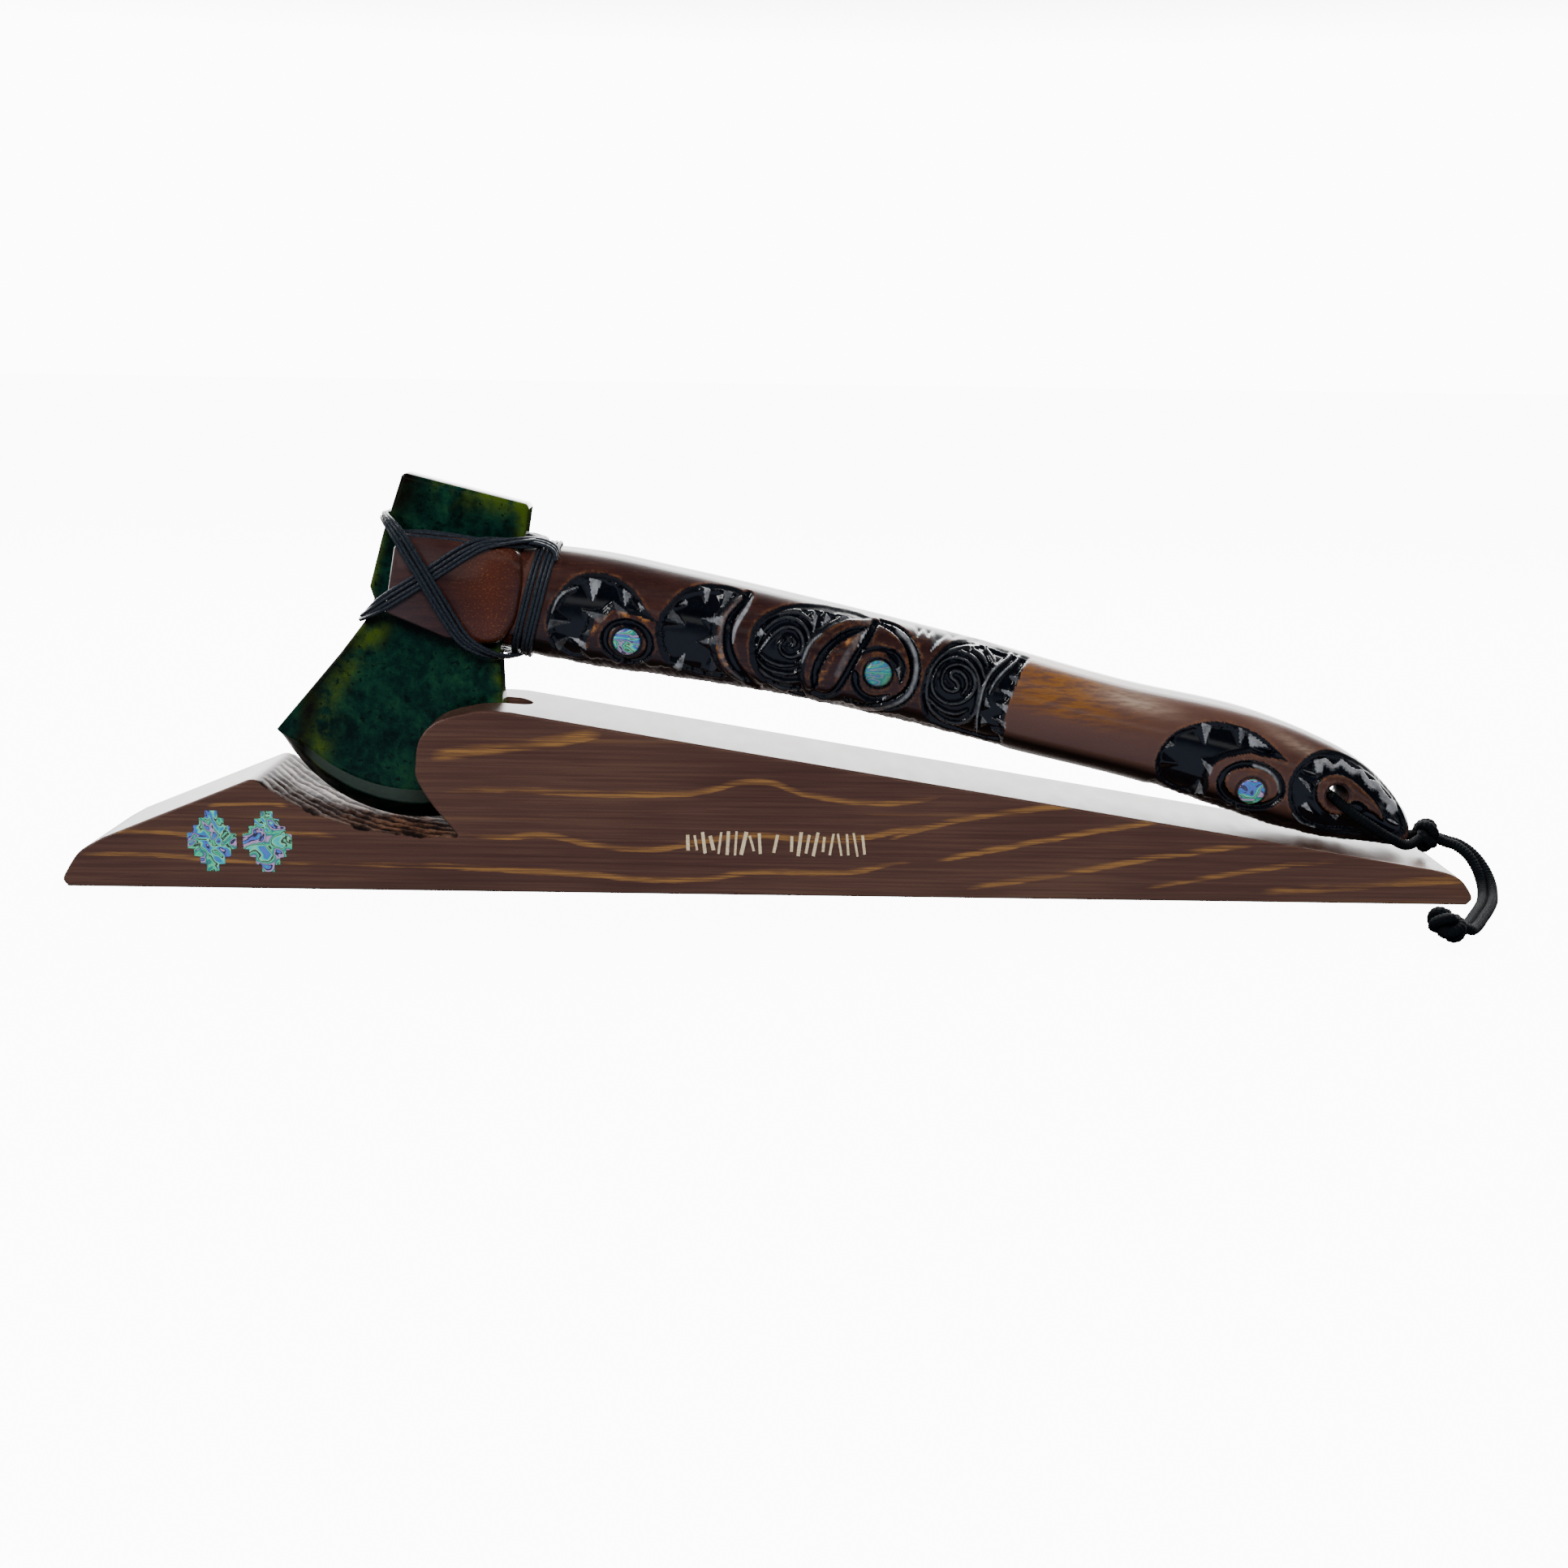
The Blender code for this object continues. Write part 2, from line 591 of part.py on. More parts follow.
def carved_front():
    """The outlines cut into the front of the handle, each with the islands left in it."""
    return [
        # Brow and eye behind the neck
        [toothed(smooth([spot(*p) for p in ((44, 5), (37, 8), (33.6, 14), (33.4, 21),
                                             (36.5, 28), (42, 32.6), (49, 34), (56, 31.8),
                                             (61.5, 27.6), (65, 23.8))], 2),
                 [spot(*p) for p in ((60, 25.6), (54, 25.6), (52, 29), (49.4, 24.2), (46.6, 22.6),
                                     (42.4, 25), (45, 18.6), (44.6, 14.6), (39.6, 14),
                                     (45.4, 10.6), (47, 7.4))])],
        [oval(spot(58.7, 15.8), 7 * MM, 6.6 * MM), oval(spot(58.7, 15.7), 5.2 * MM, 5 * MM)],
        # Second disc, with the two roped bands beside it
        [toothed(smooth([spot(*p) for p in ((87, 13.2), (78, 12.4), (70.6, 15), (66.4, 22),
                                             (67.4, 30), (73, 36.6), (80, 39), (88, 38.6))], 2),
                 [spot(*p) for p in ((85.4, 34.6), (81.6, 35.4), (83.6, 31), (84, 27), (80.8, 24.4),
                                     (84, 21.6), (84.8, 18.2), (81.8, 16.6))])],
        [band(arc(spot(104, 27), 17 * MM, 137, 232, 9), 0.8 * MM, 0.6)],
        # First spiral and its comet tail
        [oval(spot(104.6, 25.2), 11.2 * MM, 12.2 * MM),
         spiral(spot(104.6, 25.2), 1.2 * MM, 9.4 * MM, 1.6, 200, 0.8 * MM, 16)],
        [band(smooth([spot(*p) for p in ((103, 39.4), (110, 40), (118, 39.8), (127, 40.6))], 2),
              1.1 * MM, 0.8)],
        # Leaf and teardrop
        [oval(spot(122.6, 25.8), 10.4 * MM, 4.4 * MM, 61), oval(spot(122.8, 25.9), 8.6 * MM,
                                                                 2.8 * MM, 61)],
        [band(smooth([spot(*p) for p in ((132.6, 39.4), (140.4, 36.8), (145.6, 31.5), (147, 25.4),
                                          (145, 19.4), (139.5, 15.4), (132, 14), (125, 15))], 2),
              0.9 * MM, 0.7)],
        [band(arc(spot(136, 25.2), 7.7 * MM, -20, 110, 8), 0.9 * MM, 0.8)],
        [band(arc(spot(136, 25.2), 7.7 * MM, 160, 285, 8), 0.9 * MM, 0.8)],
        # Second spiral and the notched border
        [oval(spot(158.3, 27.4), 9 * MM, 12.6 * MM),
         spiral(spot(158.3, 27.4), 1.5 * MM, 7.4 * MM, 0.9, 0, 0.7 * MM, 9),
         spiral(spot(158.3, 27.4), 1.5 * MM, 7.4 * MM, 0.9, 180, 0.7 * MM, 9)],
        [band(smooth([spot(*p) for p in ((168.6, 14.6), (168.9, 24), (171.8, 31.5), (177.6, 38.6))],
                     2), 0.8 * MM, 0.3)],
        [[spot(171.6, 14.6), spot(171.9, 22), spot(176.4, 17.6)]],
        [[spot(172.6, 24.4), spot(175.4, 31), spot(178.4, 25)]],
        # Second brow and eye
        [toothed(smooth([spot(*p) for p in ((233, 11.8), (228.4, 15), (227.2, 21), (229.6, 28),
                                             (236, 34), (244.5, 36.8), (253, 36), (260, 33),
                                             (265.2, 29.4))], 2),
                 [spot(*p) for p in ((257, 30), (254.6, 33), (251.4, 28.8), (247.4, 26.8),
                                     (244.6, 31), (245, 23.6), (243.6, 19.6), (238.6, 21),
                                     (243, 15.6), (241, 12.4))])],
        [oval(spot(257.9, 18.6), 8.6 * MM, 6.5 * MM, -14), oval(spot(257.8, 18.4), 6.4 * MM,
                                                                 4.8 * MM, -14)],
        # The tip, with its collar round the hole and a zigzag
        [smooth([spot(*p) for p in ((270.4, 24), (272.6, 30.6), (278.6, 35), (286, 35.4),
                                     (293, 32.4), (300, 27.4), (305.4, 22.2), (307.4, 18.6),
                                     (302, 14.8), (294, 12.8), (284, 12.2), (276, 13.6),
                                     (271.4, 18))], 2, closed=True),
         smooth([spot(*p) for p in ((278.8, 23), (280.6, 27.4), (284.6, 28.8), (289.4, 27.6),
                                     (294.6, 24.8), (299.6, 20.2), (293.6, 20.4), (290, 18.4),
                                     (286.6, 17.4), (281.6, 18.6))], 2, closed=True),
         band(zigzag(smooth([spot(*p) for p in ((276.6, 30.6), (282, 32.6), (288, 31.8),
                                                 (294.6, 28.8), (300, 24.6), (304, 20))], 2),
                     0.7 * MM), 0.5 * MM)],
    ]


def carved_back():
    """The plainer carving on the back."""
    return [
        [smooth([spot(*p) for p in ((44, 6), (36, 12), (34, 20), (38, 29), (47, 33.6), (57, 31),
                                     (64, 24), (57, 26.4), (49.6, 23.4), (46.6, 16), (48, 9))], 2,
                closed=True)],
        [oval(spot(58.7, 15.8), 7 * MM, 6.6 * MM), oval(spot(58.7, 15.7), 5.2 * MM, 5 * MM)],
        [oval(spot(104.6, 25.2), 11.2 * MM, 12.2 * MM), oval(spot(104.6, 25.2), 8 * MM, 9 * MM)],
        [oval(spot(136, 25.2), 9.2 * MM, 9.2 * MM), oval(spot(136, 25.2), 7.2 * MM, 7.2 * MM)],
        [oval(spot(158.3, 27.4), 9 * MM, 12.6 * MM), oval(spot(158.3, 27.4), 6.2 * MM, 9 * MM)],
        [smooth([spot(*p) for p in ((234, 12), (227.6, 20), (233, 31.6), (244.5, 36.4), (256, 34.6),
                                     (264, 29.6), (253, 29.4), (246, 23), (242, 13.6))], 2,
                closed=True)],
        [oval(spot(257.9, 18.6), 8.6 * MM, 6.5 * MM, -14), oval(spot(257.8, 18.4), 6.4 * MM,
                                                                 4.8 * MM, -14)],
        [smooth([spot(*p) for p in ((270.4, 24), (278.6, 34.6), (293, 32), (305.4, 22), (302, 15),
                                     (284, 12.4), (272, 17))], 2, closed=True),
         smooth([spot(*p) for p in ((278.8, 23), (284.6, 28.8), (292, 26), (299.6, 20.2),
                                     (286.6, 17.4))], 3, closed=True)],
    ]


def toothed(outer, inner):
    """An outer curve closed by an inner edge cut into teeth."""
    return list(outer) + list(inner)


def carving_cutter(name, cutters, frame, regions, side, core):
    """Prisms over the carved places, less the handle's core: what is left is the cut."""
    inner, outer = 3 * MM, GRIP_THICKNESS
    low, high = (-outer, -inner) if side == FRONT else (inner, outer)
    bm = bmesh.new()
    for loops in regions:
        mesh = plate_mesh(name, loops, low, high)
        bm.from_mesh(mesh)
        bpy.data.meshes.remove(mesh)
    mesh = bpy.data.meshes.new(name)
    bm.to_mesh(mesh)
    bm.free()
    cutter = as_cutter(add_object(name, mesh, cutters, parent=frame))
    add_boolean(cutter, core, "DIFFERENCE")
    return cutter


def make_handle(parts, cutters, frame, material):
    handle = add_object("handle", grip_mesh("handle"), parts, material, frame)
    half = cheek_half()
    cheeks = add_object("cheeks", plate_mesh("cheeks", [cheek_outline()], -half, half), cutters,
                        parent=frame)
    bevel = cheeks.modifiers.new("rounded", "BEVEL")
    bevel.width = 1 * MM
    bevel.segments = 1
    bevel.limit_method = "ANGLE"
    add_boolean(handle, as_cutter(cheeks), "UNION")
    fork = STONE_THICKNESS / 2 + GAP
    throat = STONE_WAIST / 2 + GAP
    mouth = [(-CHEEK_LENGTH, -CHEEK_HEIGHT), (throat, -CHEEK_HEIGHT), (throat, 3 * CHEEK_HEIGHT),
             (-CHEEK_LENGTH, 3 * CHEEK_HEIGHT)]
    slot = as_cutter(add_object("fork", plate_mesh("fork", [mouth], -fork, fork), cutters,
                                parent=frame))
    add_boolean(handle, slot, "DIFFERENCE")
    core = as_cutter(add_object("core", grip_mesh("core", -CARVE_DEPTH, 16, 17), cutters,
                                parent=frame))
    for name, regions, side in (("carving_front", carved_front(), FRONT),
                                ("carving_back", carved_back(), BACK)):
        cutter = carving_cutter(name, cutters, frame, regions, side, core)
        add_boolean(handle, cutter, "DIFFERENCE")
    hole = plate_mesh("hole", [oval(spot(*HOLE_PLACE), HOLE_DIAMETER / 2, HOLE_DIAMETER / 2)],
                      -GRIP_THICKNESS, GRIP_THICKNESS)
    add_boolean(handle, as_cutter(add_object("hole", hole, cutters, parent=frame)), "DIFFERENCE")
    for side in (FRONT, BACK):
        for place in EYE_PLACES:
            socket = eye_disc("socket", place, side, GAP, 3 * MM)
            cutter = as_cutter(add_object("eye_socket", socket, cutters, parent=frame))
            add_boolean(handle, cutter, "DIFFERENCE")
    smooth_shading(handle, 35)
    return handle


def eye_disc(name, place, side, grow, above):
    """A disc let into the side of the handle, square to its surface."""
    point, out = grip_surface(*place, side)
    inner = -EYE_THICKNESS + EYE_PROUD - grow
    bm = bmesh.new()
    bmesh.ops.create_cone(bm, cap_ends=True, segments=14, radius1=EYE_DIAMETER / 2 + grow,
                          radius2=EYE_DIAMETER / 2 + grow, depth=above - inner)
    mesh = bpy.data.meshes.new(name)
    bm.to_mesh(mesh)
    bm.free()
    turn = Vector((0, 0, 1)).rotation_difference(out).to_matrix().to_4x4()
    lift = Matrix.Translation((0, 0, (above + inner) / 2))
    mesh.transform(Matrix.Translation(point) @ turn @ lift)
    return mesh


def make_eyes(parts, frame, material):
    for side, word in ((FRONT, "front"), (BACK, "back")):
        for number, place in enumerate(EYE_PLACES, 1):
            name = f"eye_{word}_{number}"
            add_object(name, eye_disc(name, place, side, 0, EYE_PROUD), parts, material, frame)


# Lashing

def strand_section(count):
    """The cross-section of strands lying side by side, flat below."""
    half = count * STRAND / 2
    points = [(-half, 0), (-half, 0.62 * STRAND)]
    for i in range(count):
        middle = -half + (i + 0.5) * STRAND
        points.append((middle, STRAND))
        if i < count - 1:
            points.append((middle + STRAND / 2, 0.7 * STRAND))
    return points + [(half, 0.62 * STRAND), (half, 0)]


def strap_mesh(name, path, outward, section):
    """Sweep a section round a closed path; outward points away from what it wraps."""
    rings = []
    count = len(path)
    for i in range(count):
        ahead = (path[(i + 1) % count] - path[i - 1]).normalized()
        out = outward[i] - ahead * outward[i].dot(ahead)
        out.normalize()
        side = ahead.cross(out)
        rings.append([path[i] + side * w + out * n for w, n in section])
    return loft_mesh(name, rings, closed_path=True)


def leg_route(climbs):
    """One leg of the cross: stations from the stone's edge over the cheek to the neck.

    Heights are shares of the cheek's half height about its middle, and lengths are shares of
    the cheek from its left end. Each station ends in the way that the strap faces there.
    """
    left = NECK_START + 8 * MM - CHEEK_LENGTH
    middle = 2 * CHEEK_FOOT + CHEEK_HEIGHT / 2
    rise = CHEEK_HEIGHT / 2 + 2 * MM
    face = cheek_half() + GAP
    edge = STONE_THICKNESS / 2 + 2 * GAP
    rim = STONE_WAIST / 2 * 1.06
    lift = GAP + 0.4 * STRAND
    if climbs:
        end = across(station(NECK_CROSS_PLACE, GRIP_TOP)) + lift
        shares = ((0.036, face + GAP, -0.6, (-0.35, -1, 0)), (0.305, face, 0.1, (0, -1, 0)),
                  (0.52, face + GAP, 0.82, (0, -1, 0)),
                  (0.66, face + GAP, 1.1, (0, -0.9, 0.4)),
                  (0.82, face - 1.6 * MM, 1.2, (0, -0.6, 0.8)),
                  (0.97, face - 5.2 * MM, 1.19, (0, -0.3, 1)))
        rim_level = middle - 0.975 * rise
    else:
        end = across(station(NECK_CROSS_PLACE, GRIP_BOTTOM)) - lift
        shares = ((0.025, face + GAP, 0.71, (-0.35, -1, 0)),
                  (0.305, face + 2 * GAP, -0.04, (0, -1, 0)), (0.52, face + GAP, -0.6, (0, -1, 0)),
                  (0.67, face + GAP, -0.93, (0, -1, -0.25)),
                  (0.83, face - 1 * MM, -1.08, (0, -0.8, -0.6)),
                  (0.97, face - 4.6 * MM, -1.1, (0, -0.4, -1)))
        rim_level = middle + 1.05 * rise
    stations = [((-rim, 0, rim_level), (-1, 0, 0.2)), ((-rim, -edge, rim_level), (-0.9, -0.6, 0.2))]
    for share, depth, height, out in shares:
        stations.append(((left + share * CHEEK_LENGTH, -depth, middle + height * rise), out))
    stations.append(((along(NECK_CROSS_PLACE), 0, end), (0, 0, 1 if climbs else -1)))
    mirrored = [((p[0], -p[1], p[2]), (n[0], -n[1], n[2])) for p, n in stations[-2:0:-1]]
    route = stations + mirrored
    return [Vector(p) for p, n in route], [Vector(n) for p, n in route]


def neck_wrap_mesh(name):
    """Turns of cord round the neck, each point of them set off the handle's own section."""
    count = 20
    rings = []
    for i in range(count):
        angle = 2 * math.pi * (i + 0.5) / count
        c, s = math.cos(angle), math.sin(angle)
        ring = []
        for w, n in strand_section(NECK_TURNS):
            middle, high, thick = grip_section(NECK_WRAP_PLACE + w / MM)
            y = math.copysign(abs(c) ** SECTION_ROUND, c) * (thick + GAP + n)
            z = math.copysign(abs(s) ** SECTION_ROUND, s) * (high + GAP + n)
            ring.append((along(NECK_WRAP_PLACE) + w, y, middle + z))
        rings.append(ring)
    return loft_mesh(name, rings, closed_path=True)


def make_lashing(parts, cutters, frame, material):
    """One cord in the end: the turns round the neck and the two crossed legs."""
    lashing = add_object("lashing", neck_wrap_mesh("lashing"), parts, material, frame)
    for name, climbs in (("leg_up", True), ("leg_down", False)):
        mesh = strap_mesh(name, *leg_route(climbs), strand_section(LEG_STRANDS))
        leg = as_cutter(add_object(name, mesh, cutters, parent=frame))
        add_boolean(lashing, leg, "UNION")
    smooth_shading(lashing)
    return lashing


# Wrist cord

LOOP_ROUTE = ((176.6, 6.2, 31.4), (178.3, 9.8, 30.7), (181.9, 12.7, 29), (186.6, 13.9, 26.2),
              (191.4, 13.6, 23.2), (195.8, 12.2, 19.8), (199.4, 9.6, 16.9), (202.6, 6, 15.5))
TAIL_ROUTE = ((215, -0.6, 15.2), (218.2, -2.6, 14.4), (221.4, -5.6, 12), (223.6, -9, 8.4),
              (224.4, -13, 4.6), (223.2, -18.4, 2.2), (220.6, -25.4, 1.7), (216.6, -34, 1.6),
              (212, -43, 1.6), (207.6, -51.6, 1.7), (203.8, -58.6, 2.4), (201, -63.4, 3.8))
KNOT_PLACE = (209, 0, 15.7)
END_KNOT_PLACE = (194.6, -67.6, 6.1)


def cord_mesh(name, route, offset):
    """A round cord along a smooth curve through the route, moved sideways by the offset."""
    points = smooth([Vector(p) * MM for p in route], 1)
    moved = []
    for i, p in enumerate(points):
        ahead = points[min(i + 1, len(points) - 1)] - points[max(i - 1, 0)]
        side = Vector((-ahead.y, ahead.x, 0)).normalized()
        moved.append(p + side * offset)
    curve = bpy.data.curves.new(name, "CURVE")
    curve.dimensions = "3D"
    curve.bevel_depth = CORD_DIAMETER / 2
    curve.bevel_resolution = 2
    curve.use_fill_caps = True
    spline = curve.splines.new("POLY")
    spline.points.add(len(moved) - 1)
    for point, p in zip(spline.points, moved):
        point.co = (*p, 1)
    return mesh_from_curve(name, curve)


def knot_mesh(name, place, half_sizes, lobes):
    """A ball of turned cord: a round form with shallow slanting lobes."""
    bm = bmesh.new()
    bmesh.ops.create_uvsphere(bm, u_segments=12, v_segments=7, radius=1)
    for vert in bm.verts:
        x, y, z = vert.co
        angle = math.atan2(y, x)
        ripple = 1 - 0.07 * (1 - math.cos(lobes * angle + 3 * z)) * (1 - z * z)
        vert.co = Vector((x * half_sizes[0], y * half_sizes[1], z * half_sizes[2])) * ripple
        vert.co += Vector(place) * MM
    mesh = bpy.data.meshes.new(name)
    bm.to_mesh(mesh)
    bm.free()
    mesh.shade_smooth()
    return mesh


def make_cord(parts, material):
    lay = (CORD_DIAMETER + GAP) / 2
    mirrored = [(x, -y, z) for x, y, z in LOOP_ROUTE]
    add_object("cord_loop_front", cord_mesh("cord_loop_front", mirrored, 0), parts, material)
    add_object("cord_loop_back", cord_mesh("cord_loop_back", LOOP_ROUTE, 0), parts, material)
    for name, sign in (("cord_tail_left", -1), ("cord_tail_right", 1)):
        add_object(name, cord_mesh(name, TAIL_ROUTE, sign * lay), parts, material)
    wide = CORD_KNOT_DIAMETER / 2
    knot = knot_mesh("cord_knot", KNOT_PLACE, (CORD_KNOT_LENGTH / 2, wide, wide), 5)
    add_object("cord_knot", knot, parts, material)
    ball = END_KNOT_DIAMETER / 2
    end = knot_mesh("end_knot", END_KNOT_PLACE, (ball, ball, ball), 4)
    add_object("end_knot", end, parts, material)


def main():
    clear_scene()
    parts = new_collection("greenstone_axe")
    cutters = new_collection("cutters")
    pine = new_material("stained_pine", (0.09, 0.04, 0.022), 0.3)
    wood = new_material("red_brown_wood", (0.12, 0.045, 0.022), 0.2)
    stone = new_material("greenstone", (0.02, 0.085, 0.035), 0.18)
    shell = new_material("paua_shell", (0.1, 0.42, 0.42), 0.2)
    waxed = new_material("waxed_cord", (0.012, 0.014, 0.017), 0.5)
    braid = new_material("braided_cord", (0.012, 0.013, 0.015), 0.85)

    seat = blade_seat()
    tilt = axe_tilt(seat)
    frame = bpy.data.objects.new("axe_frame", None)
    parts.objects.link(frame)
    turn = Matrix.Rotation(tilt, 4, "Y")
    centre = turn @ Vector((EDGE_CENTRE[0], 0, EDGE_CENTRE[1]))
    frame.location = Vector((seat.x, 0, seat.y)) - centre
    frame.rotation_euler = (0, tilt, 0)

    make_stand(parts, cutters, pine, seat)
    make_inlays(parts, shell)
    head = add_object("axe_head", make_stone_mesh("axe_head"), parts, stone, frame)
    smooth_shading(head, 25)
    make_handle(parts, cutters, frame, wood)
    make_eyes(parts, frame, shell)
    make_lashing(parts, cutters, frame, waxed)
    make_cord(parts, braid)
    bpy.context.view_layer.update()


main()
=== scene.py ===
"""The looks of the greenstone axe and its stand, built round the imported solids.

Outlines are in millimetres, meshes and the cord's routes in metres. Places on the axe are
written in its own frame: u along the handle, v across it and y through it.
"""
import math

import bmesh
import bpy
import numpy as np
from mathutils import Matrix, Vector


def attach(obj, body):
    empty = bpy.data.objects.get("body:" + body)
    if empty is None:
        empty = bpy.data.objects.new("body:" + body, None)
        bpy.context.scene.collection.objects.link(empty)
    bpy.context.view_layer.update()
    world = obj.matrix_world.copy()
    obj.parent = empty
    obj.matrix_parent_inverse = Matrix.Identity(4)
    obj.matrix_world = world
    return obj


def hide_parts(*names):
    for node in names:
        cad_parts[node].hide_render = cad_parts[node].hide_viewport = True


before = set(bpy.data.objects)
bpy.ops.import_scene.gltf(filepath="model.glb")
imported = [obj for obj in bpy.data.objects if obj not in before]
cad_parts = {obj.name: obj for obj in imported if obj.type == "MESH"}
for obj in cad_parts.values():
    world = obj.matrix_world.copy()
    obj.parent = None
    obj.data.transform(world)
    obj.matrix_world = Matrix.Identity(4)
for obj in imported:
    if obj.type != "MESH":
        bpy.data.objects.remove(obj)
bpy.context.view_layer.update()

BODY = "root"
MM = 0.001

# The axe's own frame, as the solids have it
AXE_TILT = 0.23813
AXE_PLACE = (-0.104756, 0, 0.075439)
AXE = Matrix.Translation(AXE_PLACE) @ Matrix.Rotation(AXE_TILT, 4, "Y")

# Camera, as solved from the edges of the stand in the photograph
PHOTO_SIDE = 1932
FOCAL_LENGTH = 2485
SENSOR = 36
CAMERA_PLACE = (0.004656, -0.624667, 0.157834)
CAMERA_DOWN = math.radians(11.509)
CAMERA_ROLL = math.radians(0.783)

# White table, and the lamps: name, place, width and length, power
FLOOR_HALF, FLOOR_GLOW = 30, 11
ROOM_GLOW = 12
LAMPS = (("overhead", (0.1, 0.75, 1.0), (1.6, 0.6), 24),
         ("left", (-0.9, -0.5, 0.7), (0.3, 0.5), 4.5),
         ("front", (0.1, -1.2, 0.8), (0.9, 0.4), 18.0))
LAMP_AIM = (0, 0, 0.05)

# Stand
STAND_LENGTH, STAND_DEPTH = 434, 45
PEAK_HEIGHT, PEAK_INSET = 34.4, 59.8
MOUTH_HEIGHT, MOUTH_LENGTH = 17.5, 60
LOBE_HEIGHT = 56.4
TAIL_HEIGHT, TAIL_ROUND = 11.2, 13.1
NOSE_HEIGHT, NOSE_LENGTH = 15.5, 12.6
STAND_EDGE = 0.7
SLOT_END, SLOT_HALF = -74.3, 6.3
SLOT_FLOOR_CENTRE = (-109.7, 68.3)
SLOT_FLOOR_RADIUS = 50.2
MOUTH_RIDGE_PITCH, MOUTH_RIDGE_HEIGHT = 5.4, 0.9
STROKES_START, STROKES_END = -27, 29.3
STROKES_LOW, STROKES_HIGH = 12.6, 20.4
STROKE_COUNT, STROKE_WIDTH, STROKE_PROUD = 24, 0.9, 0.25
STAND_ROWS = 84

# Lines of golden grain on the stand's front: half width, then points left to right
GRAIN_LINES = (
    (1.0, ((-214, 15), (-195, 17.4), (-170, 16.4), (-150, 17.6), (-131, 16.6))),
    (0.9, ((-214, 9.6), (-190, 10.2), (-160, 8.4), (-120, 8.2), (-81, 6.8))),
    (0.8, ((-172, 25.8), (-158, 26.8), (-146, 26.0))),
    (2.3, ((-104, 41.6), (-85, 43.6), (-66, 46.4), (-50, 49.6))),
    (1.3, ((-103, 31), (-81.4, 31.9), (-45.3, 31), (-23.8, 31.3), (-3, 34.8), (13.3, 30.9),
           (43, 29.9), (56, 33.4))),
    (1.3, ((-93, 17.5), (-81.4, 16.8), (-67.8, 17.5), (-54.3, 14.9), (-36.3, 13.3), (-25.5, 15.3),
           (-4.8, 18.4), (8.8, 17.6), (26.8, 17.8), (40.3, 20.8), (56, 22.8))),
    (1.2, ((-138, 7.8), (-114, 7.6), (-81.4, 6.4), (-54.3, 5.3), (-36.3, 3.7), (-18.3, 4.8),
           (-4.8, 6.9), (26.8, 7.7), (40.3, 10.8), (53.8, 12.3))),
    (1.2, ((36, 17.8), (54.6, 23.6), (70.3, 26.3), (98, 29.4))),
    (1.2, ((48, 10.8), (66.6, 14.6), (86.4, 18.5), (102.1, 21.6), (124, 25.6))),
    (1.3, ((60, 3), (90, 8), (120, 13.5), (150, 18))),
    (1.2, ((115, 3.6), (140, 8), (160, 11.5), (178, 13.3))),
    (1.8, ((150, 2.3), (170, 4), (195, 6.5), (216, 8))))

# Stone; each row of its sides is a level with the left and the right side there
STONE_HALF = 5.5
STONE_ROUND = 1.3
EDGE_RADIUS, EDGE_CENTRE = 49.2, (-3, -8.6)
BEVEL_RADIUS, BEVEL_CENTRE = 50.2, (-6, 2)
EDGE_HALF = 0.35
STONE_TOP, SHOULDER_LEVEL, TIP_LEVEL = 48.2, -21.9, -39.8
STONE_SIDES = ((STONE_TOP, -18.6, 18.6), (47.8, -19.4, 19.4), (46.9, -20, 20), (35.7, -21, 21),
               (28.9, -21.8, 21), (11.6, -22.3, 21), (8.2, -20.2, 21), (1.9, -21, 21),
               (-10.8, -26.7, 24.6), (SHOULDER_LEVEL, -32.3, 29), (TIP_LEVEL, -41, 35))

# Handle; its top, bottom and side are given by place along it
GRIP_START = 21.35
GRIP_HALF = 13
SECTION_ROUND = 0.85
GRIP_TOP = ((16, 34.6), (30, 37.6), (44, 39.5), (70, 40.7), (110, 41.7), (160, 42.0), (210, 41.0),
            (255, 41.8), (271.5, 39.8), (288.8, 35.6), (298.3, 31.0), (305, 26.2), (309.8, 21.4),
            (312.2, 17.0))
GRIP_BOTTOM = ((16, 4.0), (30, 3.3), (44, 3.5), (75, 6.7), (106, 9.6), (137, 10.9), (184, 11.2),
               (232, 11.0), (249, 9.5), (273, 7.9), (289, 8.6), (300, 10.2), (309, 11.8),
               (312.2, 13.4))
GRIP_SIDE = ((16, 0.72), (25, 0.76), (32, 0.84), (44, 0.97), (70, 1.0), (200, 1.0), (240, 0.95),
             (270, 0.84), (290, 0.74), (304, 0.6), (310, 0.46), (312.2, 0.3))
CARVED_STRETCHES = ((31, 182), (224, 311))
FINE_STEP, PLAIN_STEP = 0.45, 1.5
FRONT_COLUMNS, BACK_COLUMNS = 116, 50
CHEEK_LEFT, CHEEK_RIGHT = -16.6, 24
CHEEK_LOW, CHEEK_HIGH = 2.4, 30.4
CHEEK_HALF, FORK_HALF, FORK_END = 12, 5.8, 21.3
HOLE_PLACE, HOLE_RADIUS = (284.4, 23.4), 3.5
EYE_RADIUS, EYE_DEPTH, EYE_SIDES = 4.1, 1.3, 48
EYE_PLACES = ((58.7, 15.6), (135.6, 25.4), (257.6, 18.2))
# Several of these layers paint light: highlights on facets and on the plain stretch, sheen, and shade
# along the underside.
HANDLE_LAYERS = ("black", "worn", "pale", "belly", "honey", "tone_and_sheen", "painted_shine")

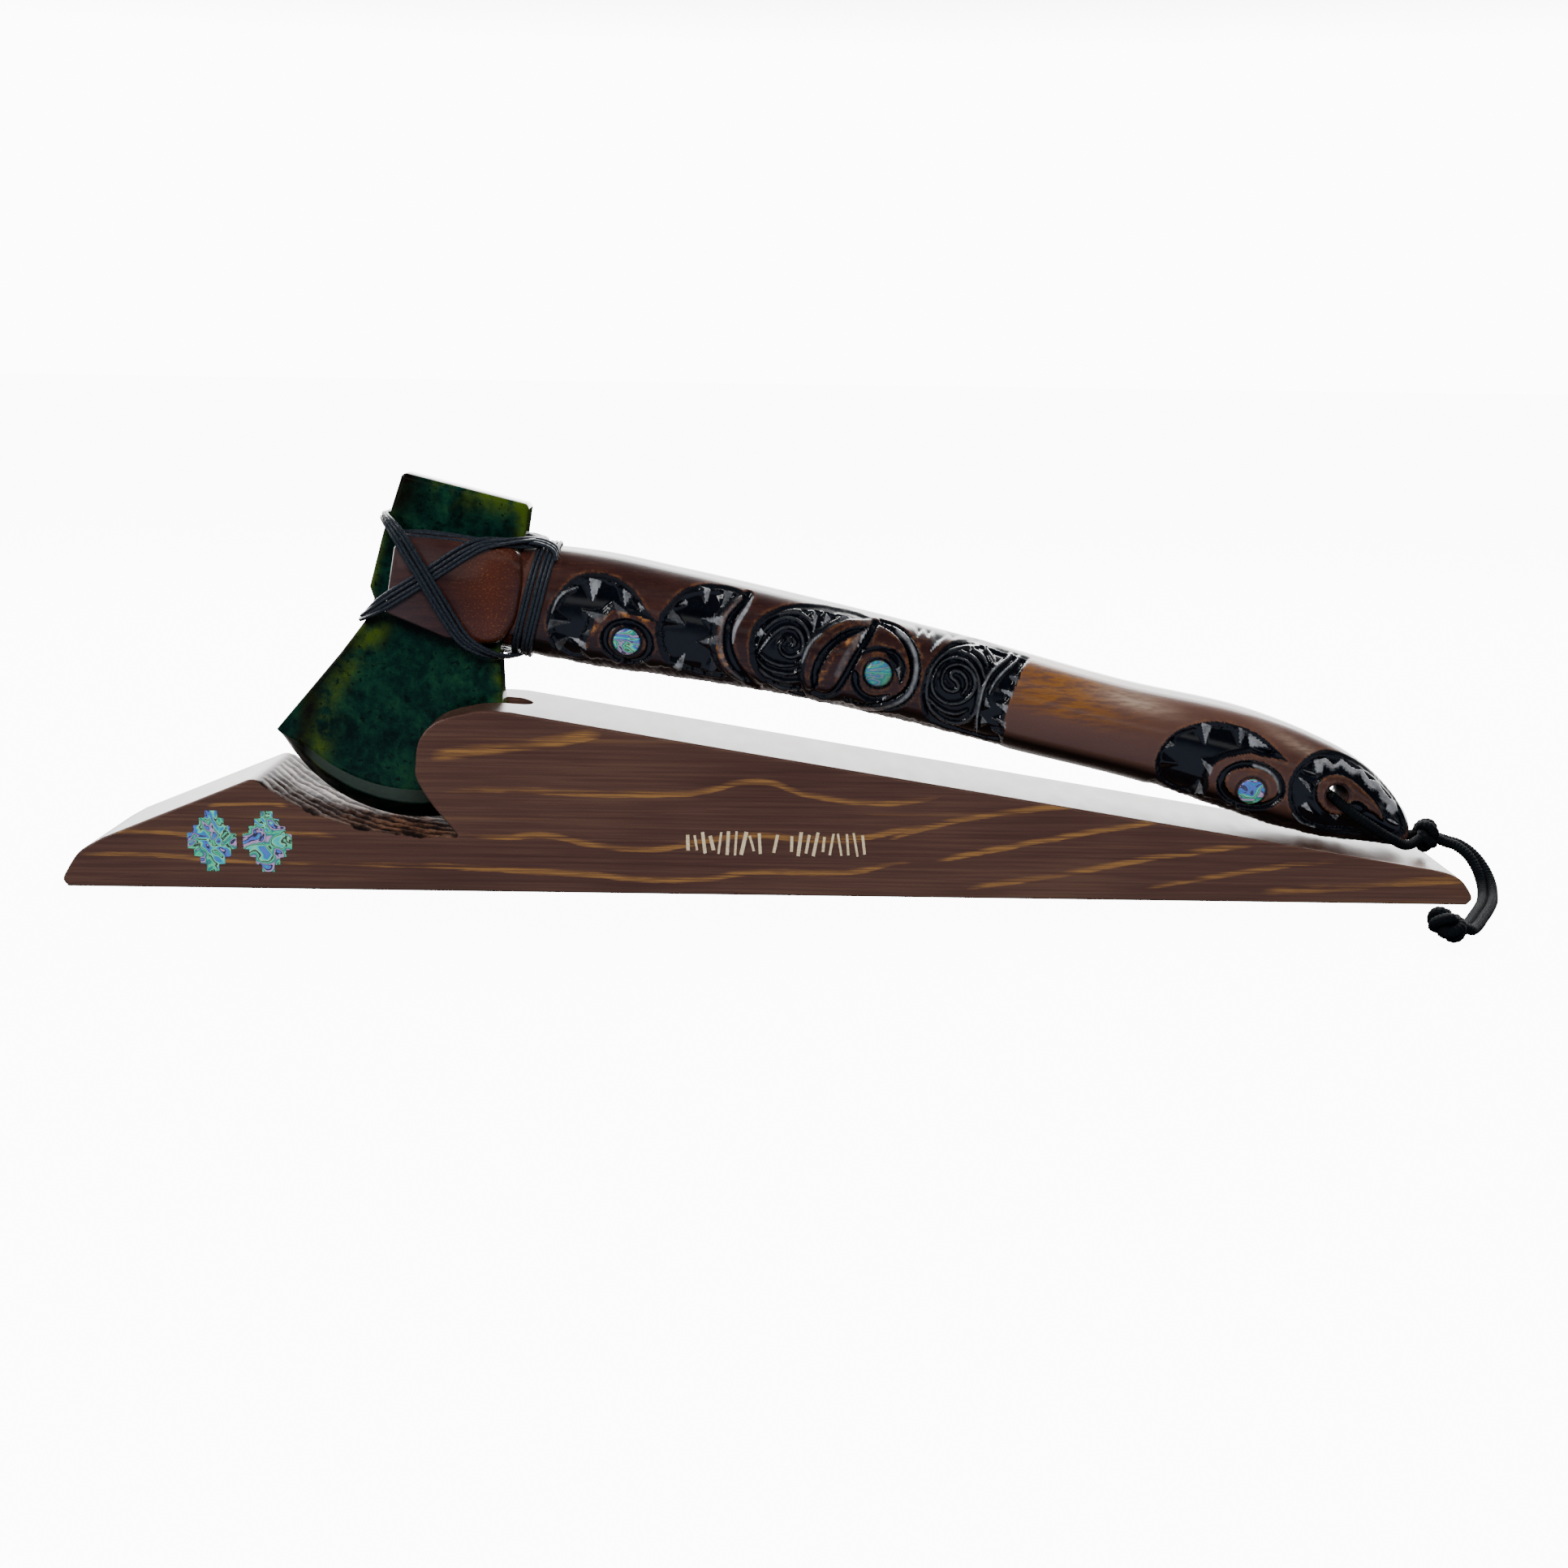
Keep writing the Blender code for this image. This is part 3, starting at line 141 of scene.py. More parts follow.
# Lashing and wrist cord
STRAND, LEG_STRANDS, THREAD_ENDS = 1.2, 4, 3
NECK_TURNS, NECK_PLACE = 5, 27.8
CORD_DIAMETER = 0.003
LOOP_ROUTE = ((0.1774, 0.0062, 0.0294), (0.1790, 0.0100, 0.0280), (0.1820, 0.0128, 0.0257),
              (0.1862, 0.0137, 0.0230), (0.1906, 0.0132, 0.0202), (0.1950, 0.0118, 0.0178),
              (0.1988, 0.0092, 0.0158), (0.2024, 0.006, 0.0154))
TAIL_ROUTE = ((0.215, -0.0006, 0.0152), (0.2182, -0.0026, 0.0144), (0.2214, -0.0056, 0.012),
              (0.2236, -0.009, 0.0084), (0.2244, -0.013, 0.0046), (0.2232, -0.0184, 0.0022),
              (0.2206, -0.0254, 0.0017), (0.2166, -0.034, 0.0016), (0.212, -0.043, 0.0016),
              (0.2076, -0.0516, 0.0017), (0.2038, -0.0586, 0.0024), (0.201, -0.0634, 0.0038))
KNOT_PLACE = (0.2085, 0, 0.0170)
END_KNOT_PLACE = (0.1946, -0.0676, 0.0061)
TAIL_OFFSET = 0.0015


# Outlines

def smooth(points, steps=4, closed=False):
    """A Catmull-Rom curve through the points, as an array."""
    pts = [np.array(p, float) for p in points]
    if closed:
        pts = [pts[-1]] + pts + pts[:2]
    else:
        pts = [2 * pts[0] - pts[1]] + pts + [2 * pts[-1] - pts[-2]]
    out = []
    for a, b, c, d in zip(pts, pts[1:], pts[2:], pts[3:]):
        for i in range(steps):
            t = i / steps
            out.append(0.5 * (2 * b + (c - a) * t + (2 * a - 5 * b + 4 * c - d) * t ** 2
                              + (3 * b - a - 3 * c + d) * t ** 3))
    if not closed:
        out.append(pts[-2])
    return np.array(out)


def oval(centre, half_long, half_short, turn=0, steps=40):
    angles = np.linspace(0, 2 * math.pi, steps, endpoint=False)
    x, y = half_long * np.cos(angles), half_short * np.sin(angles)
    c, s = math.cos(math.radians(turn)), math.sin(math.radians(turn))
    return np.stack((centre[0] + x * c - y * s, centre[1] + x * s + y * c), 1)


def station(u, table):
    """The table's value at places along the handle, on a smooth curve through it."""
    names = np.array([row[0] for row in table], float)
    values = np.array([row[1] for row in table], float)
    slopes = np.gradient(values, names)
    u = np.clip(np.asarray(u, float), names[0], names[-1])
    i = np.clip(np.searchsorted(names, u) - 1, 0, len(names) - 2)
    step = names[i + 1] - names[i]
    t = (u - names[i]) / step
    return (values[i] * (2 * t ** 3 - 3 * t ** 2 + 1) + slopes[i] * step * (t ** 3 - 2 * t ** 2 + t)
            + values[i + 1] * (3 * t ** 2 - 2 * t ** 3) + slopes[i + 1] * step * (t ** 3 - t ** 2))


def grip_section(u):
    """Middle height, half height and half thickness of the handle, in millimetres."""
    top, bottom = station(u, GRIP_TOP), station(u, GRIP_BOTTOM)
    return (top + bottom) / 2, (top - bottom) / 2, station(u, GRIP_SIDE) * GRIP_HALF


def ripple(x, y, seed):
    """A soft uneven value between -1 and 1, the same on each run."""
    total = np.zeros_like(x, dtype=float)
    source = np.random.default_rng(seed)
    for scale in (0.23, 0.61, 1.37, 2.9):
        a, b, c = source.uniform(0, 2 * math.pi, 3)
        total += np.sin(scale * (x * math.cos(a) + y * math.sin(a)) + b + 1.7 * np.sin(
            scale * 0.7 * (y * math.cos(a) - x * math.sin(a)) + c)) / 4
    return total


# Scene tools

def node(tree, kind, inputs=None, **settings):
    """Add a node, set its inputs and link those that are given as sockets."""
    made = tree.nodes.new(kind)
    for key, value in settings.items():
        setattr(made, key, value)
    for key, value in (inputs or {}).items():
        if isinstance(value, bpy.types.NodeSocket):
            tree.links.new(value, made.inputs[key])
        else:
            made.inputs[key].default_value = value
    return made


def number(tree, operation, *values, clamp=False):
    return node(tree, "ShaderNodeMath", dict(enumerate(values)), operation=operation,
                use_clamp=clamp).outputs[0]


def times(tree, *values, clamp=False):
    return number(tree, "MULTIPLY", *values, clamp=clamp)


def scaled(tree, value, by, plus):
    """A value times one number, plus another."""
    return number(tree, "MULTIPLY_ADD", value, by, plus)


def finish_start(name, **values):
    """A new Principled finish: its material, its tree and its shader."""
    material = bpy.data.materials.new(name)
    material.use_nodes = True
    tree = material.node_tree
    shader = tree.nodes["Principled BSDF"]
    for key, value in values.items():
        shader.inputs[key.replace("_", " ")].default_value = value
    return material, tree, shader


def place(tree, scale=(1, 1, 1), turn=(0, 0, 0)):
    """The piece's own coordinates, stretched and turned."""
    spot = node(tree, "ShaderNodeTexCoord").outputs["Object"]
    return node(tree, "ShaderNodeMapping", {"Vector": spot, "Scale": scale,
                                            "Rotation": turn}).outputs[0]


def noise(tree, spot, scale, detail=4, roughness=0.55, distortion=0):
    return node(tree, "ShaderNodeTexNoise", {"Vector": spot, "Scale": scale, "Detail": detail,
                                             "Roughness": roughness,
                                             "Distortion": distortion}).outputs["Fac"]


def grain(tree, scale, detail, roughness, turn=(0, 0, 0)):
    """Noise with a scale of its own along each axis of the piece."""
    return noise(tree, place(tree, scale, turn), 1.0, detail, roughness)


def ramp(tree, value, *stops):
    """Colours by value; each stop is a place and a grey or a colour."""
    made = node(tree, "ShaderNodeValToRGB", {"Fac": value})
    elements = made.color_ramp.elements
    while len(elements) < len(stops):
        elements.new(0.5)
    for element, (where, shade) in zip(elements, sorted(stops, key=lambda stop: stop[0])):
        element.position = where
        element.color = (*shade, 1) if isinstance(shade, tuple) else (shade, shade, shade, 1)
    return made.outputs[0]


def mix(tree, share, a, b, blend="MIX"):
    a, b = ((*c, 1) if isinstance(c, tuple) else c for c in (a, b))
    return node(tree, "ShaderNodeMix", {0: share, 6: a, 7: b}, data_type="RGBA",
                blend_type=blend).outputs[2]


def laid_over(tree, colour, *layers):
    """A colour with others over it, each by its own share."""
    for share, other in layers:
        colour = mix(tree, share, colour, other)
    return colour


def attribute(tree, name):
    return node(tree, "ShaderNodeAttribute", attribute_name=name).outputs["Fac"]


def bump(tree, shader, height, strength, distance):
    made = node(tree, "ShaderNodeBump", {"Height": height, "Strength": strength,
                                         "Distance": distance})
    tree.links.new(made.outputs[0], shader.inputs["Normal"])


def group_start(name, output, **inputs):
    """A new node group with inputs of the given kinds: its tree, and what its inputs give."""
    tree = bpy.data.node_groups.new(name, "GeometryNodeTree")
    for key, kind in inputs.items():
        tree.interface.new_socket(key, in_out="INPUT", socket_type="NodeSocket" + kind)
    tree.interface.new_socket(output, in_out="OUTPUT", socket_type="NodeSocketGeometry")
    return tree, node(tree, "NodeGroupInput").outputs


def group_end(tree, geometry, finish, output):
    real = node(tree, "GeometryNodeRealizeInstances", {"Geometry": geometry})
    dressed = node(tree, "GeometryNodeSetMaterial", {"Geometry": real.outputs[0],
                                                     "Material": finish})
    node(tree, "NodeGroupOutput", {output: dressed.outputs[0]})
    return tree


def piece(name, mesh, finish, slot, *nodes):
    """Put a finished mesh in the scene as a piece on the part's body."""
    obj = loose(name, mesh)
    mesh.materials.clear()
    mesh.materials.append(finish)
    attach(obj, BODY)
    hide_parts(*nodes)
    return obj


def mesh_from(name, points, faces):
    mesh = bpy.data.meshes.new(name)
    mesh.from_pydata([tuple(p) for p in points], [], [tuple(f) for f in faces])
    mesh.update()
    mesh.shade_smooth()
    return mesh


def grid_faces(rows, columns, closed=True):
    """Quads over a grid whose columns run round, as an array of vertex numbers."""
    across = columns if closed else columns - 1
    i, j = np.meshgrid(np.arange(rows - 1), np.arange(across), indexing="ij")
    k = (j + 1) % columns
    return np.stack((i * columns + j, i * columns + k, (i + 1) * columns + k,
                     (i + 1) * columns + j), -1).reshape(-1, 4)


def skin(name, points, columns):
    """A closed mesh over rings of points, capped at both ends."""
    count = len(points)
    return mesh_from(name, points, [*grid_faces(count // columns, columns), range(columns),
                                    range(count - columns, count)])


def turned_out(mesh):
    """Merge doubles and point every face outwards."""
    bm = bmesh.new()
    bm.from_mesh(mesh)
    bmesh.ops.remove_doubles(bm, verts=bm.verts, dist=0.002 * MM)
    bmesh.ops.recalc_face_normals(bm, faces=bm.faces)
    bm.to_mesh(mesh)
    bm.free()
    return mesh


def store(mesh, name, values):
    """Keep a value for each point of a mesh."""
    mesh.attributes.new(name, "FLOAT", "POINT").data.foreach_set(
        "value", np.asarray(values, np.float32).ravel())


def carved_away(obj, other, operation="DIFFERENCE"):
    """Apply a Boolean with another object, which is then dropped."""
    modifier = obj.modifiers.new("cut", "BOOLEAN")
    modifier.object = other
    modifier.operation = operation
    modifier.solver = "EXACT"
    mesh = baked(obj)
    bpy.data.objects.remove(other, do_unlink=True)
    obj.modifiers.clear()
    obj.data = mesh
    return obj


def baked(obj):
    """The object's mesh with its modifiers taken in."""
    bpy.context.view_layer.update()
    graph = bpy.context.evaluated_depsgraph_get()
    return bpy.data.meshes.new_from_object(obj.evaluated_get(graph), depsgraph=graph,
                                           preserve_all_data_layers=True)


def loose(name, data):
    """A new object in the scene."""
    obj = bpy.data.objects.new(name, data)
    bpy.context.scene.collection.objects.link(obj)
    return obj


# Camera, floor and light

def make_camera():
    data = bpy.data.cameras.new("camera")
    data.sensor_width = SENSOR
    data.lens = SENSOR * FOCAL_LENGTH / PHOTO_SIDE
    data.clip_start = 0.01
    camera = loose("camera", data)
    camera.matrix_world = (Matrix.Translation(CAMERA_PLACE)
                           @ Matrix.Rotation(math.pi / 2 - CAMERA_DOWN, 4, "X")
                           @ Matrix.Rotation(CAMERA_ROLL, 4, "Z"))
    bpy.context.scene.camera = camera


def make_stage():
    """A white table; pieces don't mirror it, so that their dark fronts stay dark."""
    corners = [(x * FLOOR_HALF, y * FLOOR_HALF, 0) for x, y in ((-1, -1), (1, -1), (1, 1), (-1, 1))]
    mesh = mesh_from("floor", corners, [(0, 1, 2, 3)])
    mesh.materials.append(finish_start(
        "white_card", Base_Color=(0.85, 0.85, 0.85, 1), Roughness=0.9, Specular_IOR_Level=0,
        Emission_Color=(1, 1, 1, 1), Emission_Strength=FLOOR_GLOW)[0])
    floor = loose("floor", mesh)
    floor.visible_glossy = False
    floor.visible_diffuse = False


def make_light():
    """White behind and above, dark in front, and a soft glow from the table below.

    The room is seen and mirrored, and the lamps alone light the pieces.
    """
    world = bpy.data.worlds.new("white_room")
    bpy.context.scene.world = world
    world.use_nodes = True
    world.cycles_visibility.diffuse = False
    tree = world.node_tree
    back = tree.nodes["Background"]
    back.inputs["Strength"].default_value = ROOM_GLOW
    way = node(tree, "ShaderNodeTexCoord").outputs["Generated"]
    axes = node(tree, "ShaderNodeSeparateXYZ", {0: way}).outputs
    behind, height = (scaled(tree, axes[i], 0.5, 0.5) for i in (1, 2))
    glow = ramp(tree, behind, (0.0, 0.004), (0.5, 0.006), (0.71, 0.07), (0.83, 1.0))
    steps = ramp(tree, height, (0.575, 1.0), (0.595, 0.4), (0.64, 0.45), (0.72, 0.85))
    band = ramp(tree, height, (0.49, 0.0), (0.505, 0.05), (0.54, 0.05), (0.57, 0.0))
    above = mix(tree, 1.0, mix(tree, 1.0, glow, steps, "MULTIPLY"), band, "LIGHTEN")
    table = ramp(tree, height, (0.40, (0.024, 0.027, 0.036)), (0.455, (0.006, 0.007, 0.010)),
                 (0.49, (0.002, 0.002, 0.003)))
    table = mix(tree, 1.0, table, ramp(tree, behind, (0.35, 1.0), (0.55, 0.04)), "MULTIPLY")
    low = ramp(tree, height, (0.485, 1.0), (0.495, 0.0))
    tree.links.new(mix(tree, low, above, table), back.inputs["Color"])
    for name, spot, size, power in LAMPS:
        data = bpy.data.lights.new(name, "AREA")
        data.shape = "RECTANGLE"
        data.size, data.size_y = size
        data.energy = power
        lamp = loose(name, data)
        lamp.location = spot
        lamp.visible_glossy = name != "front"
        lamp.rotation_euler = (Vector(LAMP_AIM) - lamp.location).to_track_quat("-Z", "Y").to_euler()


# Thread and cord, swept along a route by one node tree

def thread_tree():
    """Sweep a round section along curves and press the lay of its strands into it."""
    tree, ask = group_start("laid_thread", "Thread", Route="Geometry", Radius="Float", Sides="Int",
                            Step="Float", Lay="Float", Relief="Float", Strands="Float",
                            Crossing="Float", Finish="Material")
    evened = node(tree, "GeometryNodeResampleCurve", {"Curve": ask["Route"],
                                                      "Length": ask["Step"]}, mode="LENGTH")
    ring = node(tree, "GeometryNodeCurvePrimitiveCircle",
                {"Resolution": ask["Sides"], "Radius": ask["Radius"]}, mode="RADIUS")
    run = node(tree, "GeometryNodeSplineParameter").outputs
    line, section = (node(tree, "GeometryNodeStoreNamedAttribute",
                          {"Geometry": curve.outputs[0], "Name": name, "Value": value},
                          data_type="FLOAT", domain="POINT").outputs[0]
                     for curve, name, value in ((evened, "run", run["Length"]),
                                                (ring, "turn", run["Factor"])))
    swept = node(tree, "GeometryNodeCurveToMesh", {"Curve": line, "Profile Curve": section,
                                                   "Fill Caps": True}).outputs[0]
    along, around = (node(tree, "GeometryNodeInputNamedAttribute", {"Name": name},
                          data_type="FLOAT").outputs[0] for name in ("run", "turn"))
    advance = number(tree, "DIVIDE", along, ask["Lay"])
    strand = times(tree, around, ask["Strands"])
    there, back = (number(tree, "COSINE", times(tree, number(tree, operation, strand, advance),
                                                2 * math.pi))
                   for operation in ("ADD", "SUBTRACT"))
    crossed = number(tree, "SUBTRACT", times(tree, there, back), there)
    height = number(tree, "ADD", there, times(tree, crossed, ask["Crossing"]))
    push = node(tree, "ShaderNodeVectorMath",
                {0: node(tree, "GeometryNodeInputNormal").outputs[0],
                 "Scale": times(tree, height, ask["Relief"])}, operation="SCALE")
    moved = node(tree, "GeometryNodeSetPosition", {"Geometry": swept, "Offset": push.outputs[0]})
    soft = node(tree, "GeometryNodeSetShadeSmooth", {"Geometry": moved.outputs[0]})
    return group_end(tree, soft.outputs[0], ask["Finish"], "Thread")


def set_inputs(modifier, values):
    """Set a modifier's inputs, found by the name of their socket."""
    for item in modifier.node_group.interface.items_tree:
        if item.in_out == "INPUT" and item.name in values:
            modifier[item.identifier] = values[item.name]


def thread_mesh(name, routes, tree, finish, closed=False, **sizes):
    """A mesh of laid thread along each route, in metres."""
    curve = bpy.data.curves.new(name, "CURVE")
    curve.dimensions = "3D"
    for route in routes:
        spline = curve.splines.new("POLY")
        spline.points.add(len(route) - 1)
        spline.points.foreach_set("co", np.hstack((route, np.ones((len(route), 1)))).ravel())
        spline.use_cyclic_u = closed
    obj = loose(name + "_route", curve)
    modifier = obj.modifiers.new("laid", "NODES")
    modifier.node_group = tree
    set_inputs(modifier, {"Finish": finish, **sizes})
    mesh = baked(obj)
    bpy.data.objects.remove(obj, do_unlink=True)
    mesh.name = name
    return mesh


def together(mesh, other):
    """One mesh of two."""
    joined = bmesh.new()
    joined.from_mesh(mesh)
    joined.from_mesh(other)
    joined.to_mesh(mesh)
    joined.free()
    mesh.shade_smooth()
    return mesh


def shifted(route, amount):
    """A level route moved to its side."""
    ahead = np.gradient(route, axis=0)
    side = np.stack((-ahead[:, 1], ahead[:, 0], np.zeros(len(route))), 1)
    side /= np.linalg.norm(side, axis=1, keepdims=True)
    return route + side * amount


def cord_route(front):
    """From the hole round the tip, through the knot and down to the end knot."""
    sign = -1 if front else 1
    loop = np.array(LOOP_ROUTE) * (1, sign, 1)
    tail = shifted(np.array(TAIL_ROUTE), sign * TAIL_OFFSET)
    middle = np.array(KNOT_PLACE) + (0, sign * TAIL_OFFSET, 0)
    return smooth([*loop, middle, *tail, np.array(END_KNOT_PLACE) + (0.001, 0.001, 0)], 6)


def knot_route(centre, wide, deep, turns, twists, tilt):
    """A line that winds in and out of itself, as a pulled knot does."""
    t = np.linspace(0, 2 * math.pi, 160, endpoint=False)
    reach = wide + deep * np.cos(twists * t)
    points = np.stack((reach * np.cos(turns * t), reach * np.sin(turns * t),
                       deep * 1.25 * np.sin(twists * t)), 1)
    return points @ np.array(Matrix.Rotation(tilt, 3, "Y")).T + np.array(centre)


def make_cords(tree):
    finish = braid_finish()
    sizes = {"Radius": CORD_DIAMETER / 2, "Sides": 24, "Step": 0.00022, "Lay": 0.0021,
             "Relief": 0.00017, "Strands": 6.0, "Crossing": 1.0}
    for name, route in (("cord_knot", knot_route(KNOT_PLACE, 0.0025, 0.0015, 2, 5, math.pi / 2)),
                        ("end_knot", knot_route(END_KNOT_PLACE, 0.0027, 0.0019, 2, 5, 0.5))):
        mesh = thread_mesh(name, [route], tree, finish, closed=True, **sizes)
        if name == "cord_knot":
            start = np.array(LOOP_ROUTE[0])
            through = smooth([start * (1, side, 1) for side in (-1, 0, 1)], 6)
            inner = thread_mesh("cord_in_hole", [through], tree, finish, **sizes)
            mesh = together(mesh, inner)
        piece(name + "_braid", mesh, finish, "braided_cord", name)
    for name, front, nodes in (("wrist_cord_front", True, ("cord_loop_front", "cord_tail_left")),
                               ("wrist_cord_back", False, ("cord_loop_back", "cord_tail_right"))):
        route = cord_route(front)
        mesh = thread_mesh(name, [route], tree, finish, **sizes)
        obj = piece(name, mesh, finish, "braided_cord", *nodes)


# Lashing

def leg_stations(climbs):
    """One leg of the cross, from the stone's edge over the cheek to the neck.

    Each row is a place, the way out of the wood there, and how far apart the strands lie.
    """
    if climbs:
        front = ((-21.2, 0, 2.2, -1, 0, 0.2, 0.5), (-21.2, -6.1, 2.2, -0.9, -0.6, 0.2, 0.5),
                 (-15.1, -12.4, 9.4, -0.35, -1, 0, 1), (-4.2, -12.2, 20.6, 0, -1, 0, 1),
                 (4.2, -12.3, 29.4, 0, -1, 0, 1), (9.6, -12.2, 33.6, 0, -0.95, 0.3, 0.8),
                 (16.0, -10.6, 35.6, 0, -0.75, 0.65, 0.5), (22.4, -7.4, 37.2, 0, -0.35, 1, 0.5),
                 (26, 0, 37.6, 0, 0, 1, 0.6))
    else:
        front = ((-21.3, 0, 33.8, -1, 0, 0.2, 0.5), (-21.3, -6.1, 33.8, -0.9, -0.6, 0.2, 0.5),
                 (-15.6, -12.6, 30.2, -0.35, -1, 0, 1), (-4.2, -13.3, 18.4, 0, -1, 0, 1),
                 (4.5, -12.6, 9.2, 0, -1, 0, 1), (10.6, -12.4, 4.1, 0, -1, -0.25, 0.9),
                 (17.1, -11.1, 2.1, 0, -0.8, -0.6, 0.7), (22.8, -7.5, 1.9, 0, -0.4, -1, 0.7),
                 (26, 0, 2.8, 0, 0, -1, 0.8))
    back = [(u, -y, v, a, -b, c, d) for u, y, v, a, b, c, d in front[-2:0:-1]]
    return np.array([*front, *back])


def leg_strands(climbs):
    """Centre lines of the strands of one leg, side by side on what they wrap."""
    rows = smooth(leg_stations(climbs), 8, closed=True)
    path, out, spread = rows[:, :3], rows[:, 3:6], rows[:, 6]
    ahead = np.roll(path, -1, 0) - np.roll(path, 1, 0)
    ahead /= np.linalg.norm(ahead, axis=1, keepdims=True)
    out = out - ahead * (out * ahead).sum(1, keepdims=True)
    out /= np.linalg.norm(out, axis=1, keepdims=True)
    side = np.cross(ahead, out)
    run = np.linspace(0, 1, len(path), endpoint=False)
    strands = []
    for i in range(LEG_STRANDS):
        shift = (i - (LEG_STRANDS - 1) / 2) * STRAND * 1.05 * spread
        sway = 0.1 * np.sin(2 * math.pi * (3 * run + 0.37 * i))
        lift = STRAND / 2 + (1 - spread) * (i % 2) * STRAND * 0.9
        strands.append(path + side * (shift + sway)[:, None] + out * lift[:, None])
    return strands


def on_axe(points):
    """Points of the axe's frame, in millimetres, brought into the row frame in metres."""
    matrix = np.array(AXE)
    return (np.asarray(points, float) * MM) @ matrix[:3, :3].T + matrix[:3, 3]


def neck_turn(u, lean, lift):
    """One turn of thread round the neck."""
    angles = np.linspace(0, 2 * math.pi, 72, endpoint=False)
    c, s = np.cos(angles), np.sin(angles)
    place_u = u + lean * s
    middle, high, thick = grip_section(place_u)
    y = np.sign(c) * np.abs(c) ** SECTION_ROUND * (thick + lift)
    v = middle + np.sign(s) * np.abs(s) ** SECTION_ROUND * (high + lift)
    return np.stack((place_u, y, v), 1)


def make_lashing(tree):
    finish = thread_finish()
    sizes = {"Radius": STRAND * 0.49 * MM, "Sides": 14, "Step": 0.0004, "Lay": 0.0017,
             "Relief": 0.00002, "Strands": 2.0, "Crossing": 0.0}
    closed = [on_axe(strand) for climbs in (True, False)
              for strand in leg_strands(climbs)]
    for i in range(NECK_TURNS):
        u = NECK_PLACE + (i - (NECK_TURNS - 1) / 2) * STRAND * 1.02 + (0.35 if i > 1 else -0.1)
        closed.append(on_axe(neck_turn(u, 0.5 + 0.1 * math.sin(2.1 * i), 0.3 + STRAND / 2)))
    mesh = thread_mesh("lashing_threads", closed, tree, finish, closed=True, **sizes)
    opened = []
    for i in range(THREAD_ENDS):
        y, v = -9.2 - 1.1 * i, 34.6 - 0.35 * i * i
        opened.append(on_axe(smooth(((-15.4, y, v - 3.6), (-9, y, v - 1.9), (0, y, v - 0.7),
                                     (8, y, v), (15, y + 0.6, v + 1.3), (21, y + 3, v + 2.3),
                                     (26, y + 5.5, v + 3.6)), 8)))
        opened.append(on_axe(smooth(((22.6, -6.4 - i, 38.2 - 0.5 * i),
                                     (26.5, -7.2 - i, 38.9 - 0.6 * i),
                                     (30.4, -7.6 - i, 38.2 - 0.7 * i),
                                     (32.0, -8.2 - i, 36.2 - i)), 8)))
    ends = thread_mesh("lashing_ends", opened, tree, finish, **sizes)
    piece("lashing_threads", together(mesh, ends), finish, "waxed_cord", "lashing")


# Carving

def at_least(layer, near, values):
    layer[near] = np.maximum(layer[near], values)


